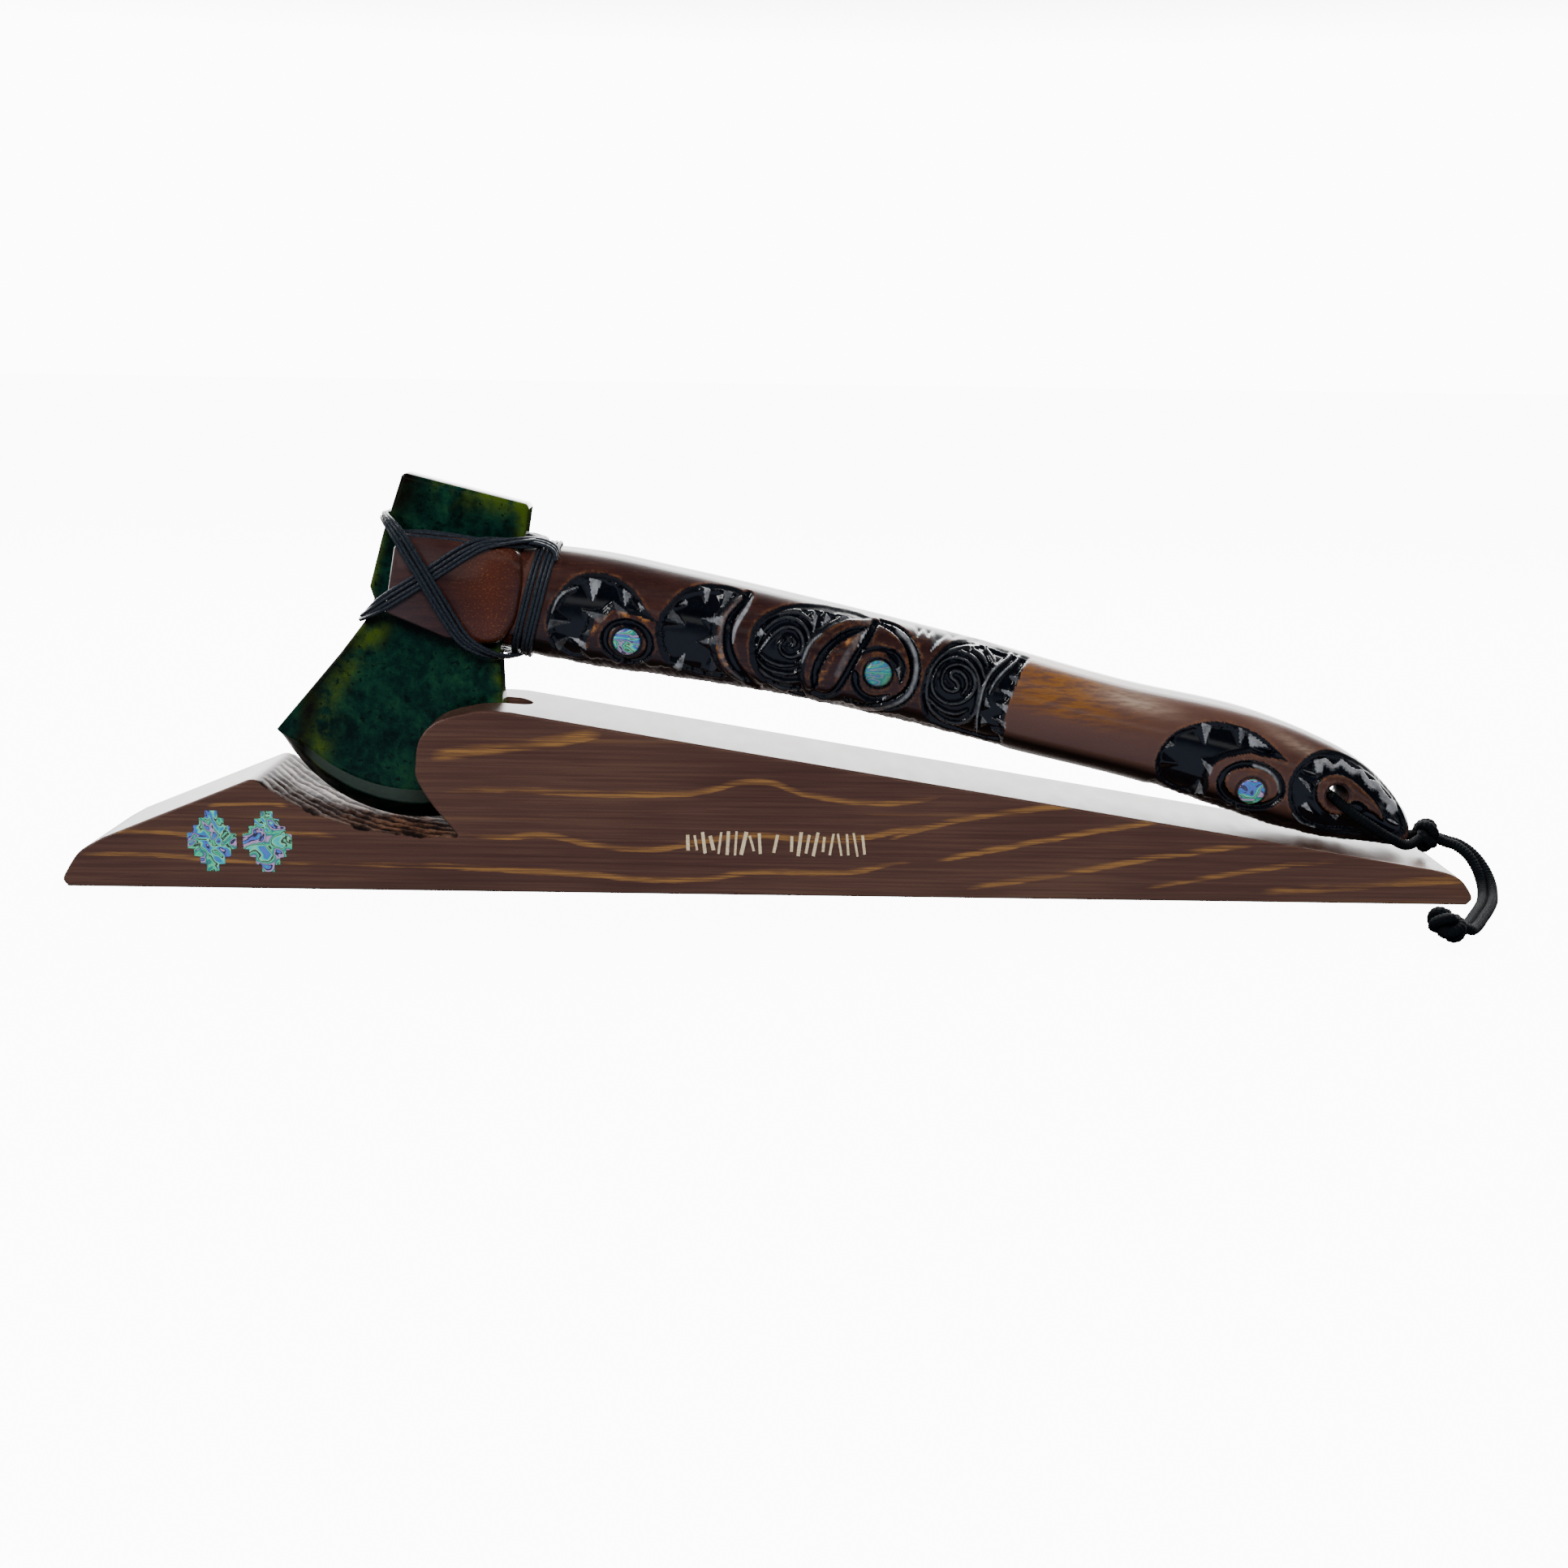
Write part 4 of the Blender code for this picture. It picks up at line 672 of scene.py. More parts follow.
class Carving:
    """Cuts in the side of the handle, in millimetres: how deep, and what colour they leave.

    Black is 0 for bare wood, about 0.6 for a rough black border and 1 for a polished floor.
    Worn is where the stain has rubbed off an edge, and pale is a painted highlight: facets and crests
    that catch the light, painted light grey.
    """

    def __init__(self, u, v):
        self.u, self.v = u, v
        self.shake = 0.13 * ripple(u * 2.2, v * 2.2, 5)
        self.deep, self.black, self.worn, self.pale = (np.zeros_like(u) for _ in range(4))

    def near(self, points, reach):
        low, high = points.min(0) - reach, points.max(0) + reach
        return np.nonzero((self.u > low[0]) & (self.u < high[0])
                          & (self.v > low[1]) & (self.v < high[1]))[0]

    def from_line(self, line, reach):
        """Which points lie near a line, how far off, how far along it and on which side."""
        line = np.asarray(line, float)
        near = self.near(line, reach)
        spot = np.stack((self.u[near], self.v[near]), 1)
        best = np.full(len(near), 1e9)
        run, side = np.zeros(len(near)), np.zeros(len(near))
        start = 0.0
        for a, b in zip(line, line[1:]):
            step = b - a
            length = math.hypot(*step)
            if length == 0:
                continue
            t = np.clip(((spot - a) @ step) / length ** 2, 0, 1)
            off = spot - a - t[:, None] * step
            gap = np.hypot(off[:, 0], off[:, 1])
            closer = gap < best
            best[closer] = gap[closer]
            run[closer] = start + t[closer] * length
            side[closer] = (step[0] * off[closer, 1] - step[1] * off[closer, 0]) / length
            start += length
        return near, best, run / start, side

    def inside(self, outline, reach):
        """Which points lie near a closed outline, and how far inside it they are."""
        outline = np.asarray(outline, float)
        closed = np.vstack((outline, outline[:1]))
        near, gap, *_ = self.from_line(closed, reach)
        x, y = self.u[near], self.v[near]
        within = np.zeros(len(near), bool)
        for (ax, ay), (bx, by) in zip(closed, closed[1:]):
            if ay != by:
                within ^= ((ay > y) != (by > y)) & (x < (bx - ax) * (y - ay) / (by - ay) + ax)
        return near, np.where(within, gap, -gap) + self.shake[near]

    def sink(self, outline, depth, wall=0.8, black=1.0, border=0.0):
        """A flat floor with sloping walls, behind a shallow rough border."""
        near, gap = self.inside(outline, 2)
        rim = np.clip(gap / 0.45, 0, 1)
        fall = np.clip((gap - border) / wall, 0, 1)
        rough = 0.35 * depth * rim * (1 + 0.25 * ripple(self.u[near] * 3, self.v[near] * 3, 9))
        at_least(self.deep, near, np.maximum(depth * fall, rough * (border > 0)))
        shade = np.where(gap > border, black, 0.6 if border else black)
        self.black[near] = np.where(gap > -0.15, np.maximum(self.black[near], shade),
                                    self.black[near])
        self.edge(near, -gap)

    def edge(self, near, outside, amount=0.25):
        """Stain rubbed off just outside a cut."""
        rub = amount * np.exp(-((outside - 0.55) / 0.4) ** 2)
        at_least(self.worn, near, np.where(outside > 0.1, rub, 0))

    def leave(self, outline, depth=0.0, wall=0.6, black=0.0, worn=0.35, crown=0.0):
        """An island that the carver left standing in a cut."""
        near, gap = self.inside(outline, 2)
        stand = np.clip(gap / wall + 0.5, 0, 1)
        stand = stand * stand * (3 - 2 * stand)
        level = depth + crown * np.exp(-np.clip(gap, 0, None) / 1.2)
        self.deep[near] += (np.minimum(level, self.deep[near]) - self.deep[near]) * stand
        inner = gap > 0.12
        self.black[near] = np.where(inner, black, self.black[near])
        self.pale[near] = np.where(inner, 0, self.pale[near])
        self.edge(near, gap, worn)

    def plate(self, outline, depth, pale):
        """A flat-topped piece left in a cut, its face painted pale as a painted reflection."""
        self.leave(outline, depth, wall=0.35, black=0.3, worn=0.0)
        near, gap = self.inside(outline, 1)
        self.pale[near] = np.where(gap > -0.1, pale, self.pale[near])

    def rub(self, line, half, amount):
        """Stain worn to gold along a line."""
        near, gap, run, _ = self.from_line(line, half * 2)
        share = np.clip(1.5 - gap / half, 0, 1) * (0.6 + 0.5 * np.sin(31 * run))
        bare = self.black[near] < 0.5
        self.worn[near] = np.where(bare, np.maximum(self.worn[near], amount * share), self.worn[near])

    def painted_sheen_band(self, line, half, pale):
        """A strip of a cut painted pale, as a painted sheen."""
        near, gap, *_ = self.from_line(line, half)
        shade = pale * np.clip(1.4 - 1.4 * gap / half, 0, 1)
        at_least(self.pale, near, shade)

    def groove(self, line, half, depth, black=1.0, taper=0.0):
        near, gap, run, _ = self.from_line(line, half + 1.5)
        width = half * (1 - taper * np.abs(2 * run - 1) ** 2)
        share = np.clip(1 - gap / np.maximum(width, 0.05), 0, 1)
        at_least(self.deep, near, depth * np.minimum(share * 1.6, 1)
                 * (1 - taper * np.abs(2 * run - 1) ** 3))
        at_least(self.black, near, black * (share > 0.08))
        self.edge(near, gap - width)

    def rib(self, line, half, rise, black=1.0, pale=0.0, taper=0.4, beads=0.0):
        """A ridge that stands in a cut; with beads it is notched across like rope."""
        near, gap, run, side = self.from_line(line, half + 0.6)
        length = np.linalg.norm(np.diff(np.asarray(line, float), axis=0), axis=1).sum()
        width = half * (1 - taper * np.abs(2 * run - 1) ** 2)
        share = np.clip(1 - gap / width, 0, 1)
        shape = np.minimum(share * 1.7, 1)
        if beads:
            notch = (run * length / beads + 0.45 * side / half) % 1
            shape = shape * (0.35 + 0.65 * np.minimum(notch * 3, np.minimum(1.25 - notch, 1)))
        lifted = self.deep[near] - rise * shape
        self.deep[near] = np.where(share > 0, np.maximum(lifted, 0.02), self.deep[near])
        crest = share > 0.35
        self.black[near] = np.where(crest, black, self.black[near])
        # The pale share paints a highlight along the rib's crest.
        at_least(self.pale, near, pale * np.clip(share * 1.6 - 0.4, 0, 1))

    def corner_shares(self, corners):
        """Points near a triangle, with their share of each corner."""
        (ax, ay), (bx, by), (cx, cy) = corners
        near = self.near(np.array(corners, float), 0.5)
        x, y = self.u[near] - cx, self.v[near] - cy
        area = (ax - cx) * (by - cy) - (bx - cx) * (ay - cy)
        a = (x * (by - cy) - y * (bx - cx)) / area
        b = (y * (ax - cx) - x * (ay - cy)) / area
        return near, a, b, 1 - a - b

    def tooth(self, base_a, base_b, tip, rise, pale=0.5):
        """A wedge that juts into a cut from its side; the side towards base_b is painted pale as a
        painted highlight.
        """
        near, a, b, c = self.corner_shares((base_a, base_b, tip))
        within = (a > 0) & (b > 0) & (c > -0.12)
        height = np.where(within, rise * np.clip(2.4 * np.minimum(a, b), 0, 1), 0)
        self.deep[near] = np.maximum(self.deep[near] - height, 0.05)
        self.pale[near] = np.where(within & (b > a), np.maximum(self.pale[near], pale),
                                   self.pale[near])

    def chip(self, a, b, c, depth, black=0.8, pale=0.6):
        """A three-cornered nick, one face of which is painted pale as a painted highlight."""
        near, wa, wb, wc = self.corner_shares((a, b, c))
        least = np.minimum(np.minimum(wa, wb), wc)
        within = least > 0
        at_least(self.deep, near, np.where(within, 3 * depth * least, 0))
        self.black[near] = np.where(within, np.maximum(self.black[near], black), self.black[near])
        face = within & (wa == least)
        self.pale[near] = np.where(face, np.maximum(self.pale[near], pale), self.pale[near])


def carve_first_brow(cut):
    """The crescent and the eye behind the neck."""
    outer = smooth(((49.4, 6.6), (43, 4.4), (37.4, 7.2), (34.7, 12.1), (33.4, 16), (33.5, 20.3),
                    (35.1, 24.7), (37.1, 28.5), (39.4, 31.3), (43.4, 33.1), (47.6, 33.8),
                    (52.1, 33.4), (56.5, 31.6), (60.3, 28.7), (62.7, 26.3), (66.2, 24)), 4)
    inner = smooth(((60.6, 24.4), (56.7, 24.4), (52.6, 24.6), (50.6, 21.8), (47.9, 20.3),
                    (47.4, 17), (46.8, 13.7), (46.1, 11.6), (46.8, 8.9)), 3)
    cut.sink(np.vstack((outer, inner)), 1.7, border=1.1)
    for a, b, tip, pale in (((40, 30.4), (46.8, 31.4), (45.7, 25), 1.0),
                            ((51.4, 31.8), (56.6, 29.6), (55.5, 26.2), 0.7),
                            ((57.2, 29.4), (61.4, 26.9), (60.4, 25.7), 0.6),
                            ((34.8, 19.6), (34.9, 13.4), (40.8, 16.9), 0.35),
                            ((35.6, 12.4), (39.4, 7), (41.6, 12.2), 0.3),
                            ((50.8, 22), (56.8, 24.6), (51.3, 27.3), 0.25),
                            ((47.3, 16.6), (50.8, 22.2), (42.8, 21.6), 0.3),
                            ((46.1, 11.6), (47.3, 17), (44.2, 14), 0.2),
                            ((47, 8), (46.1, 12), (41.2, 11.8), 0.6)):
        cut.tooth(a, b, tip, 1.5, pale)
    cut.rib(smooth(((34.5, 18.6), (35.3, 23.2), (37.4, 26), (40.2, 28.2)), 4), 0.7, 0.9,
            pale=0.75)
    cut.rub(smooth(((46.4, 9.5), (47.2, 15), (49.4, 20.6), (51.6, 23.6), (54.8, 23.6),
                    (58.6, 24), (62.4, 24.2), (66, 23.4)), 4), 1.0, 1.0)
    cut.sink(oval((58.9, 15.5), 8.3, 7.3, -8), 1.5, wall=0.6)
    cut.leave(oval((58.8, 15.4), 6.1, 5.4, -8), 0.1, wall=0.7, crown=0.2)
    cut.groove(oval((58.7, 15.6), 4.5, 4.5), 0.45, 0.5, black=0.7)


def carve_rope_bands(cut):
    """The second crescent, with the two roped bands beside it."""
    outer = smooth(((90.1, 38.7), (87.4, 39.3), (83.4, 39.3), (78.4, 38.4), (74.4, 36.8),
                    (71.1, 34.4), (68.4, 29.9), (66.5, 25.1), (66.5, 21.5), (67.5, 18.8),
                    (68.9, 15.6), (71.2, 12.7), (75.2, 10.3), (79.7, 9.3), (86.1, 9.4), (93, 10.4)), 4)
    inner = smooth(((93.3, 12.4), (90.3, 14), (87.4, 17), (85.7, 20.3), (84.9, 23.6),
                    (84.4, 27), (84.9, 30.6), (87, 34.1), (88.6, 36.9)), 3)
    cut.sink(np.vstack((outer, inner)), 1.8, border=1.2)
    for a, b, tip, pale in (((68.4, 22.8), (70.3, 28.8), (75.1, 24.9), 0.3),
                            ((70.2, 29), (73.4, 33), (74, 31.6), 0.9),
                            ((75.8, 37), (79.6, 37.2), (79.3, 32.4), 0.8),
                            ((81.2, 37.4), (86.4, 37.8), (84.4, 32.8), 0.35),
                            ((84.7, 24.8), (85, 30.6), (78.8, 28.4), 0.45),
                            ((85.6, 18.6), (84.7, 24.4), (79.3, 20.5), 0.3),
                            ((82, 11.6), (88.4, 14), (84.7, 17.4), 0.15),
                            ((72, 12.6), (76.8, 10.6), (76.7, 15.6), 0.9)):
        cut.tooth(a, b, tip, 1.6, pale)
    first = smooth(((89.4, 37.2), (87.4, 34), (85.9, 30.6), (85.7, 26.6), (86.5, 22.2),
                    (88.2, 18.2), (91, 15), (96, 12.2)), 4)
    between = smooth(((91.2, 38), (88.9, 34.4), (87.7, 30.6), (87.9, 26.4), (89.2, 21.6),
                      (92, 17.2), (96, 13.9), (101, 11.2)), 4)
    second = smooth(((92.7, 38.2), (91.9, 35), (90.6, 31.4), (89.8, 27.6), (90.2, 23.6)), 4)
    cut.groove(between, 1.7, 1.5)
    cut.rib(first, 1.35, 1.7, black=0.0, pale=0.35, beads=3.0)
    cut.rib(second, 1.2, 1.6, black=0.2, pale=1.0, taper=0.6, beads=3.1)
    cut.rub(smooth(((86.4, 22), (88.2, 18), (91.2, 14.8), (96, 12)), 4), 1.2, 1.0)


def carve_first_spiral(cut):
    """The first spiral, whose border runs out along the top like a comet."""
    outer = smooth(((130, 40.6), (124, 41.3), (118.3, 41.1), (112, 40.5), (105.9, 39.2),
                    (100.9, 36.9), (97, 33.5), (95.2, 29.6), (95.1, 25.2), (96.3, 20.6),
                    (98.4, 17), (102.4, 13.6), (108, 10.9), (114, 9.8), (118.6, 10.8)), 4)
    inner = smooth(((115, 16.3), (113.3, 20.5), (113, 24.1), (113.4, 28.7), (115.5, 32.7),
                    (119, 36.6), (122.9, 38.9)), 3)
    cut.sink(np.vstack((outer, inner)), 1.5, wall=0.6, border=1.3)
    for line in (((98.5, 22.4), (101.4, 28.8), (104.1, 32), (107.6, 32.6), (110.1, 30.8),
                  (111.2, 28), (110.8, 25.2), (108.4, 23.5), (105.6, 24), (104.2, 26.2), (105.2, 28.4)),
                 ((97.6, 23.4), (98.4, 29), (101, 33.2), (104.6, 35.4), (108.4, 35),
                  (111.4, 32.8), (112.8, 29), (112.6, 24.8), (110.4, 21.6)),
                 ((98.5, 22.4), (102, 20.6), (106.3, 20.2), (109.9, 21.2)),
                 ((98.6, 20.4), (101.6, 18.2), (105.7, 17.6), (110.2, 18.4), (112.2, 20.6)),
                 ((100, 17.6), (104, 15.4), (108.6, 15), (112.6, 16.4)),
                 ((103.6, 14), (108.6, 12.6), (113.4, 13.4)),
                 ((101.6, 35.4), (106.2, 37.4), (110.4, 36.8), (113.4, 33.8)),
                 ((107.6, 29.6), (108.6, 28.2), (107.8, 26.6))):
        cut.rib(smooth(line, 4), 0.95, 1.1, pale=0.22)
    for a, b, tip, pale in (((110.4, 38.4), (113.4, 38), (113.2, 32.8), 0.75),
                            ((114, 39), (117.4, 38.4), (115.2, 35.4), 0.6),
                            ((118.6, 39.4), (123, 39.6), (119.4, 37.4), 0.3),
                            ((98.4, 32.4), (96.8, 27.4), (99.4, 28.6), 0.8)):
        cut.tooth(a, b, tip, 1.3, pale)
    cut.rib(smooth(((112.2, 22.8), (112.6, 27), (113.8, 30.4), (115.8, 33)), 4), 0.9, 1.2,
            pale=0.6, beads=2.4)
    cut.rib(((98.5, 22.6), (100.9, 28.6)), 0.6, 1.2, pale=0.8, taper=0.9)


def carve_leaf(cut):
    """The polished leaf and the teardrop round the middle eye."""
    left = smooth(((117.6, 14.4), (116.2, 18), (115.7, 21.4), (116, 24.9), (117.2, 28.8),
                   (119.6, 32.6), (122.8, 35.8), (126, 37.6), (129, 38.2)), 4)
    leaf = smooth(((127.6, 36.6), (124.6, 34.4), (121.8, 31.6), (119.6, 28.2), (118.6, 24.6),
                   (118, 20.8), (118.6, 17.2)), 4)
    cut.sink(np.vstack((left, leaf)), 1.5, wall=0.5)
    cut.groove(smooth(((131, 39.6), (129.4, 34), (127.6, 28.2), (126.2, 22.4), (124.6, 17.2),
                       (122, 14.2), (118, 14)), 4), 1.3, 1.5)
    cut.painted_sheen_band(smooth(((127.6, 35.8), (125.8, 31.4), (124.4, 26.6), (123.6, 22)), 4), 1.7, 0.26)
    cut.chip((126.6, 36.8), (129.6, 38.4), (127.4, 31.4), 0.4, black=0.2, pale=1.0)
    tear = smooth(((131.8, 40.2), (136.9, 38.9), (141.1, 36.2), (144, 32), (145.5, 27.7),
                   (145, 23), (142.1, 18.9), (137.7, 15.7), (132.4, 14.4), (127.9, 15)), 4)
    band = smooth(((132.5, 40.8), (138.2, 40.4), (142.7, 38.2), (146.1, 34.1), (147.8, 29),
                   (148, 23.8), (146.5, 19.2), (143.1, 15.6), (137.9, 12.5), (132.3, 11),
                   (126.9, 10.9), (124.4, 12.2)), 4)
    cut.sink(np.vstack((band, tear[::-1])), 0.18, wall=0.6, black=0.95)
    cut.painted_sheen_band(smooth(((138.4, 39.5), (143, 36.6), (146, 32), (146.9, 26.4), (146, 21),
                          (143, 16.9), (138, 13.9), (132, 12.6)), 4), 1.1, 0.48)
    cut.groove(tear, 0.5, 1.3)
    cut.groove(band, 0.4, 0.7)
    cut.rub(smooth(((119.4, 17.6), (119.2, 21.4), (120.2, 26), (122.6, 30.6), (126.2, 34.4)), 4),
            0.9, 1.0)
    cut.sink(smooth(((135.6, 33.6), (139.4, 33.4), (142.4, 31), (143.6, 27.6), (143, 23.8),
                     (141.4, 27.2), (139.4, 30.2), (136.8, 31.8)), 3, closed=True), 1.3, wall=0.6)
    cut.sink(smooth(((127.8, 24.6), (128.4, 20.6), (131, 17.4), (135.2, 15.9), (138.8, 16.6),
                     (140.8, 20), (137.6, 18.6), (134.2, 18.2), (131.2, 20.2), (129.8, 24)), 3,
                    closed=True), 1.4, wall=0.6)
    cut.groove(smooth(((129.6, 30.6), (132.6, 32.6), (136.4, 33), (139, 32)), 4), 0.8, 0.8,
               black=0.8)
    cut.groove(oval((135.6, 25.5), 4.5, 4.6), 0.4, 0.5, black=0.8)
    cut.chip((137, 31.2), (142.8, 24.4), (141.6, 29.4), 0.5, pale=0.5)
    cut.chip((136.6, 16.8), (140.4, 19.8), (139.4, 17), 0.5, pale=0.8)


def carve_second_spiral(cut):
    """The double spiral and the notched border that ends the long carving."""
    outline = smooth(((180.6, 41), (173.3, 41.4), (168.5, 41.8), (163.5, 42.2), (159.5, 41.6),
                      (155.4, 39.9), (152.5, 36.8), (150.4, 33.3), (149.6, 29.3), (149.6, 24.6),
                      (150.6, 20.5), (152.6, 16.6), (155.2, 14.2), (158.9, 12.9), (163.2, 12.4),
                      (168, 12), (174, 12), (178.8, 12.8)), 4)
    end = ((178, 17.5), (176.6, 21.3), (176.4, 25.5), (176.8, 28.8), (177.4, 32.8), (178.4, 37.4))
    cut.sink(np.vstack((outline, end)), 1.5, wall=0.5, border=0.5)
    for line in (((163.9, 41), (160.1, 40.2), (155.8, 38.2), (153, 35.2), (151.5, 32.2),
                  (150.9, 29), (151.1, 25.5), (152, 21.8), (153.9, 18.6), (156.8, 16.6),
                  (160.3, 15.4), (164, 15.8), (166.8, 18.4), (167.5, 22), (167.2, 26),
                  (166.5, 30), (164.8, 33.2), (162, 35.6), (159.2, 36.4), (156.2, 35.8),
                  (153.8, 33.8), (152.4, 31)),
                 ((152.8, 31.6), (152.2, 28), (153, 24.8), (155.2, 22.6), (158.4, 21.6),
                  (161.8, 22.4), (164.4, 24.9), (165.4, 28.4), (164.4, 31.8), (161.9, 33.9),
                  (158.8, 34.3), (156.2, 33), (154.8, 30.8)),
                 ((155.2, 31.4), (155, 28.4), (156.4, 26.2), (158.8, 25.6), (160.6, 26.8),
                  (159.8, 28.8), (157.6, 30), (157.6, 31.8), (159.8, 32.2), (162, 30.8),
                  (163, 28.2), (162.2, 25.4)),
                 ((152.8, 21.6), (155.4, 19.8), (158.8, 18.6), (162.4, 18.9), (165.2, 21)),
                 ((158.6, 38.6), (162.6, 37.8), (165.6, 35.6), (167.6, 32.2)),
                 ((162, 40), (165.4, 38.8), (167.8, 36.2)),
                 ((166.4, 41), (168.6, 39), (169.8, 36.6))):
        cut.rib(smooth(line, 4), 0.95, 1.15, pale=0.25)
    cut.rib(smooth(((174.4, 40.8), (171, 37.3), (168.8, 33.4), (168, 29), (168.2, 24), (168.8, 19),
                    (170.2, 14.6)), 4), 0.9, 1.3, pale=0.55)
    cut.rib(smooth(((177, 40.6), (173.2, 36), (171, 31.8), (170.2, 27.6)), 4), 0.8, 1.2, pale=0.6)
    for a, b, tip, pale in (((177, 32.4), (176.8, 28.4), (173, 30), 0.6),
                            ((176.6, 27.8), (176.4, 23.6), (172.4, 25.6), 0.7),
                            ((176.4, 22.8), (177.6, 18.6), (172.6, 20.4), 0.6),
                            ((177.8, 37), (177.2, 33.2), (174.4, 35), 0.3),
                            ((177.8, 17.4), (178.4, 13.6), (173.4, 16.6), 0.4),
                            ((171, 16), (170, 20.4), (172.8, 18), 0.4),
                            ((169.6, 21.8), (170, 26), (172, 23.4), 0.5)):
        cut.tooth(a, b, tip, 1.4, pale)
    for a, b, c in (((143.4, 41.8), (146.4, 41.6), (144.6, 38.6)),
                    ((146.2, 41.8), (149.4, 41.7), (148, 39)),
                    ((149.2, 41.8), (154, 41.6), (149.2, 35.4)),
                    ((153.4, 42), (158, 42), (156, 40.6))):
        cut.chip(a, b, c, 0.8, black=0.6, pale=0.9)


def carve_second_brow(cut):
    """The crescent and the eye near the tip."""
    outer = smooth(((237, 11), (231, 12.6), (226.9, 17.3), (225.8, 22.1), (226.9, 27),
                    (229.6, 31.1), (233.6, 33.8), (238.5, 35.9), (243.7, 36.9), (248.4, 36.9),
                    (253.2, 36.3), (258.6, 34.3), (265.6, 30.2)), 4)
    inner = smooth(((261.3, 30.4), (257.5, 29.9), (253.9, 30.1), (250.5, 28.6), (247, 27),
                    (244.5, 24.9), (243, 22.5), (243, 19.4), (244.4, 16), (244, 12)), 3)
    cut.sink(np.vstack((outer, inner)), 1.7, wall=0.7, border=0.5)
    for a, b, tip, pale in (((233.2, 34), (239.8, 35), (239.6, 28.9), 0.6),
                            ((245.6, 36.2), (251, 35.8), (249.9, 31.6), 0.45),
                            ((264.8, 30.6), (251.8, 35.6), (253.2, 32), 0.65),
                            ((227, 23.6), (228.2, 17.6), (234, 20.6), 0.0),
                            ((243.4, 25.6), (243, 20.4), (239.2, 24.4), 0.5),
                            ((238.6, 12.6), (243.8, 13.4), (241.2, 17.2), 0.5),
                            ((229.8, 29.6), (227.6, 25), (230.2, 26.4), 0.8)):
        cut.tooth(a, b, tip, 1.5, pale)
    cut.sink(oval((256.9, 19.9), 10.8, 8.1), 1.5, wall=0.6)
    cut.leave(oval((257.2, 20.1), 8.7, 5.8), 0.1, wall=0.7, crown=0.25)
    cut.painted_sheen_band(smooth(((256, 26.4), (260.6, 25.8), (264.4, 23.4), (266.2, 20)), 4), 0.8, 0.5)
    cut.groove(oval((257.6, 18.2), 4.7, 4.7), 0.5, 0.5, black=0.4)


def carve_tip(cut):
    """The tip: a zigzag band, and a collar with a tongue round the hole."""
    cut.sink(smooth(((268.6, 21.5), (268.2, 26.2), (270.2, 31.2), (273.3, 34.4), (277.6, 36.2),
                     (282.3, 36.3), (287.4, 35.4), (292.8, 33.6), (298.2, 31), (302.9, 27.6),
                     (306.6, 23.6), (308.8, 20), (309.6, 17), (306.4, 14), (300, 12.9),
                     (291.5, 12.2), (287.2, 11.2), (282.6, 10.6), (277.9, 11.1), (273.6, 13.4),
                     (270.4, 17.4)), 3, closed=True), 1.6, wall=0.6, border=0.9)
    zigzag = ((274, 32.5), (277.7, 34.5), (280.8, 32.8), (283.2, 35.1), (286.5, 33.5), (288.2, 33.2),
              (291, 33.3), (293.2, 31.1), (296.2, 31.1), (299.9, 28.1), (301.4, 26.9), (304.5, 26),
              (305.1, 23.9), (303.9, 21.6), (301.6, 22.6), (301.4, 24.9), (299.1, 25.1),
              (297.2, 28.4), (294.8, 28.3), (292.6, 29.3), (290.3, 32), (287, 31.3), (283.5, 33.3),
              (280.7, 31.1), (277.5, 32.4), (277.7, 29.4), (276, 28.8))
    # The zigzag plate's pale face is a painted reflection.
    cut.plate(zigzag, 0.5, 0.55)
    collar = smooth(((277.2, 24.6), (278.2, 27.9), (281.4, 30), (285.4, 30.2), (289.5, 28.8),
                     (293.3, 26.7), (296.8, 24.5), (299.6, 21.9), (301, 19.2), (297.6, 20.9),
                     (293.8, 21), (292, 18.2), (288.4, 18), (284.1, 17.4), (280.6, 18.8),
                     (278.2, 21.2)), 3, closed=True)
    cut.leave(collar, 0.05, wall=0.7, crown=0.3)
    cut.sink(smooth(((288.6, 21.6), (291.2, 23.4), (295, 21.6), (292.2, 19.6)), 3, closed=True),
             1.2, wall=0.8, black=0.9)
    cut.groove(oval(HOLE_PLACE, 3.7, 3.7), 0.7, 0.8, black=0.3)
    for a, b, c in (((276.4, 24.6), (271.2, 25.8), (276.6, 22)),
                    ((282, 15.6), (274.6, 17.2), (275.6, 19)),
                    ((289.8, 18), (284, 16.8), (286.8, 15.2))):
        cut.tooth(a, b, c, 1.2, 0.7)
    cut.rib(((271.6, 28.8), (275.8, 28.4)), 0.7, 1.1, pale=0.5)
    cut.rib(((302.6, 20), (306.2, 19.2)), 0.9, 1.1, pale=0.7)
    cut.rib(smooth(((272.4, 14.6), (276.4, 12.2), (281.4, 11.6)), 4), 0.5, 0.9, pale=0.5)


def carve_underside(cut):
    """Black paint runs along the belly below the carving, with a ragged edge; part of this black is
    painted shade under the handle.
    """
    for start, end, rise in ((36, 122, 4.4), (120, 182, 2.6), (226, 310, 3.2)):
        edge = station(cut.u, GRIP_BOTTOM) + rise + 1.3 * ripple(cut.u * 0.8, cut.v * 0.3, 21)
        along = np.clip(np.minimum(cut.u - start, end - cut.u) / 3, 0, 1)
        share = np.clip((edge - cut.v) / 0.8, 0, 1) * along
        cut.deep = np.maximum(cut.deep, share * (0.4 + 0.25 * ripple(cut.u * 1.1, cut.v, 33)))
        cut.black = np.maximum(cut.black, 0.62 * (share > 0.3))


